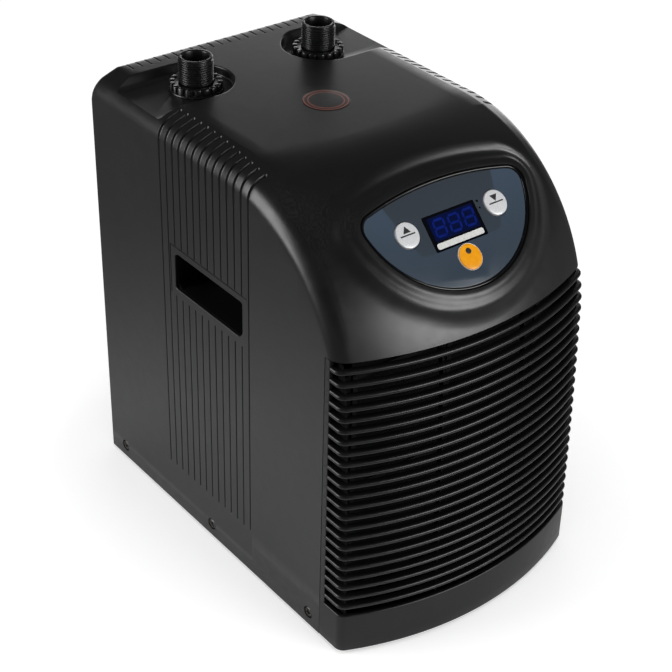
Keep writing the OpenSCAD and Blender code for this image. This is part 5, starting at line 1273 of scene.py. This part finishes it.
# the braces and backing walls take the dark foam finish as painted shade, so they sit unseen behind the ribs
for piece in makeFront(finish["ribs"], finish["foam"]):
    place(piece, "chassis", "shell", "front_grille")
print("louvred front done")

felt = {"half": 98.0, "front": -128.0, "rear": -82.0, "low": 5.0, "high": 5.9}    # under the pan's vent slots
strip = barPart(-felt["half"], felt["front"], felt["half"], felt["rear"], felt["low"], felt["high"], 3)
place(meshObject("vent_felt", *strip, finish["foam"], 40), "chassis", "foam")

# seals from the filter to the walls at each side and above it, in the dark foam finish; also painted shade,
# dark sheets that close the view through the ribs to the lit vents behind
baffle = {"inner": 88.4, "outer": 107.0, "front": -118.6, "rear": -116.6, "low": 24.0, "high": 240.0,
          "overLow": 225.3, "overHigh": 249.0}
parts = []
for inner, outer, low, high in ((-baffle["inner"], -baffle["outer"], baffle["low"], baffle["high"]),
                                (baffle["inner"], baffle["outer"], baffle["low"], baffle["high"]),
                                (-baffle["outer"], baffle["outer"], baffle["overLow"], baffle["overHigh"])):
    parts.append(slab([(inner, baffle["front"]), (outer, baffle["front"]), (outer, baffle["rear"]),
                       (inner, baffle["rear"])], low, high))
place(meshObject("air_baffles", *joinParts(parts), finish["foam"], 30, tight), "chassis", "foam")

sides, rears = makeScrews(finish["screw"], copies)
place(sides, "chassis", "steel", "side_screws")
place(rears, "chassis", "steel", "rear_screws")

for word, thread, nut in makeFittings(finish["nylon"], nutTree()):
    place(thread, "chassis", "dark_plastic", word + "_fitting")
    place(nut, "chassis", "dark_plastic", word + "_ring_nut")
print("screws and hose fittings done")

panelRoles = {    # body, slot and replaced node of each piece
    "panel_film": ("chassis", "panel_blue", "panel_plate"), "bead": ("chassis", "gasket", "panel_gasket"),
    "key_up": ("up_key", "button_silver", "button_up"), "mark_up": ("up_key", "gasket"),
    "key_down": ("down_key", "button_silver", "button_down"), "mark_down": ("down_key", "gasket"),
    "key_set": ("set_key", "button_orange", "button_set"), "mark_set": ("set_key", "gasket"),
    "rim_set": ("set_key", "button_silver"), "lens": ("chassis", "display_black", "display_window"),
    "lit_field": ("chassis", "display_black"), "digits": ("chassis", "display_black"),
    "bare_strip": ("chassis", "white_plastic"), "lamps": ("chassis", "gasket"),
}
for name, piece in makePanel(finish).items():
    place(piece, *panelRoles[name])
place(makeLabel(finish["label"]), "chassis", "label", "label_disc")
print("control panel and label done")

nodeFinish = {
    # hidden mouldings and hand cups take the darker dull finish, a painted shade in the openings
    "dull": ["filter_frame", "grip_pocket_left", "grip_pocket_right", "fan_shroud", "fan_blade", "cord_gland",
             "fuse_holder", "display_module"],
    # the base pan takes the near-black painted shade finish
    "abs": ["rear_panel"], "foam": ["filter_foam"], "pan_shade": ["base_pan"], "fins": ["condenser_fins"],
    "steel": ["fan_bracket", "compressor_studs", "condenser_plates", "tact_switches", "fan_shaft"],
    "rubber": ["foot_front_left", "foot_front_right", "foot_rear_left", "foot_rear_right", "inlet_seal",
               "outlet_seal", "compressor_grommets"],
    "vessel": ["vessel_barrel", "vessel_caps"], "titanium": ["titanium_coil"], "motor": ["fan_motor"],
    "copper": ["condenser_coil", "filter_drier", "discharge_pipe", "liquid_pipe", "suction_pipe",
               "capillary_tube"],
    "enamel": ["compressor", "compressor_foot_plate"], "white": ["terminal_cover", "start_capacitor"],
    "board": ["control_board"],
}
for name, nodes in nodeFinish.items():
    for node in nodes:
        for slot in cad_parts[node].material_slots:
            slot.material = finish[name]

low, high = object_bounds()
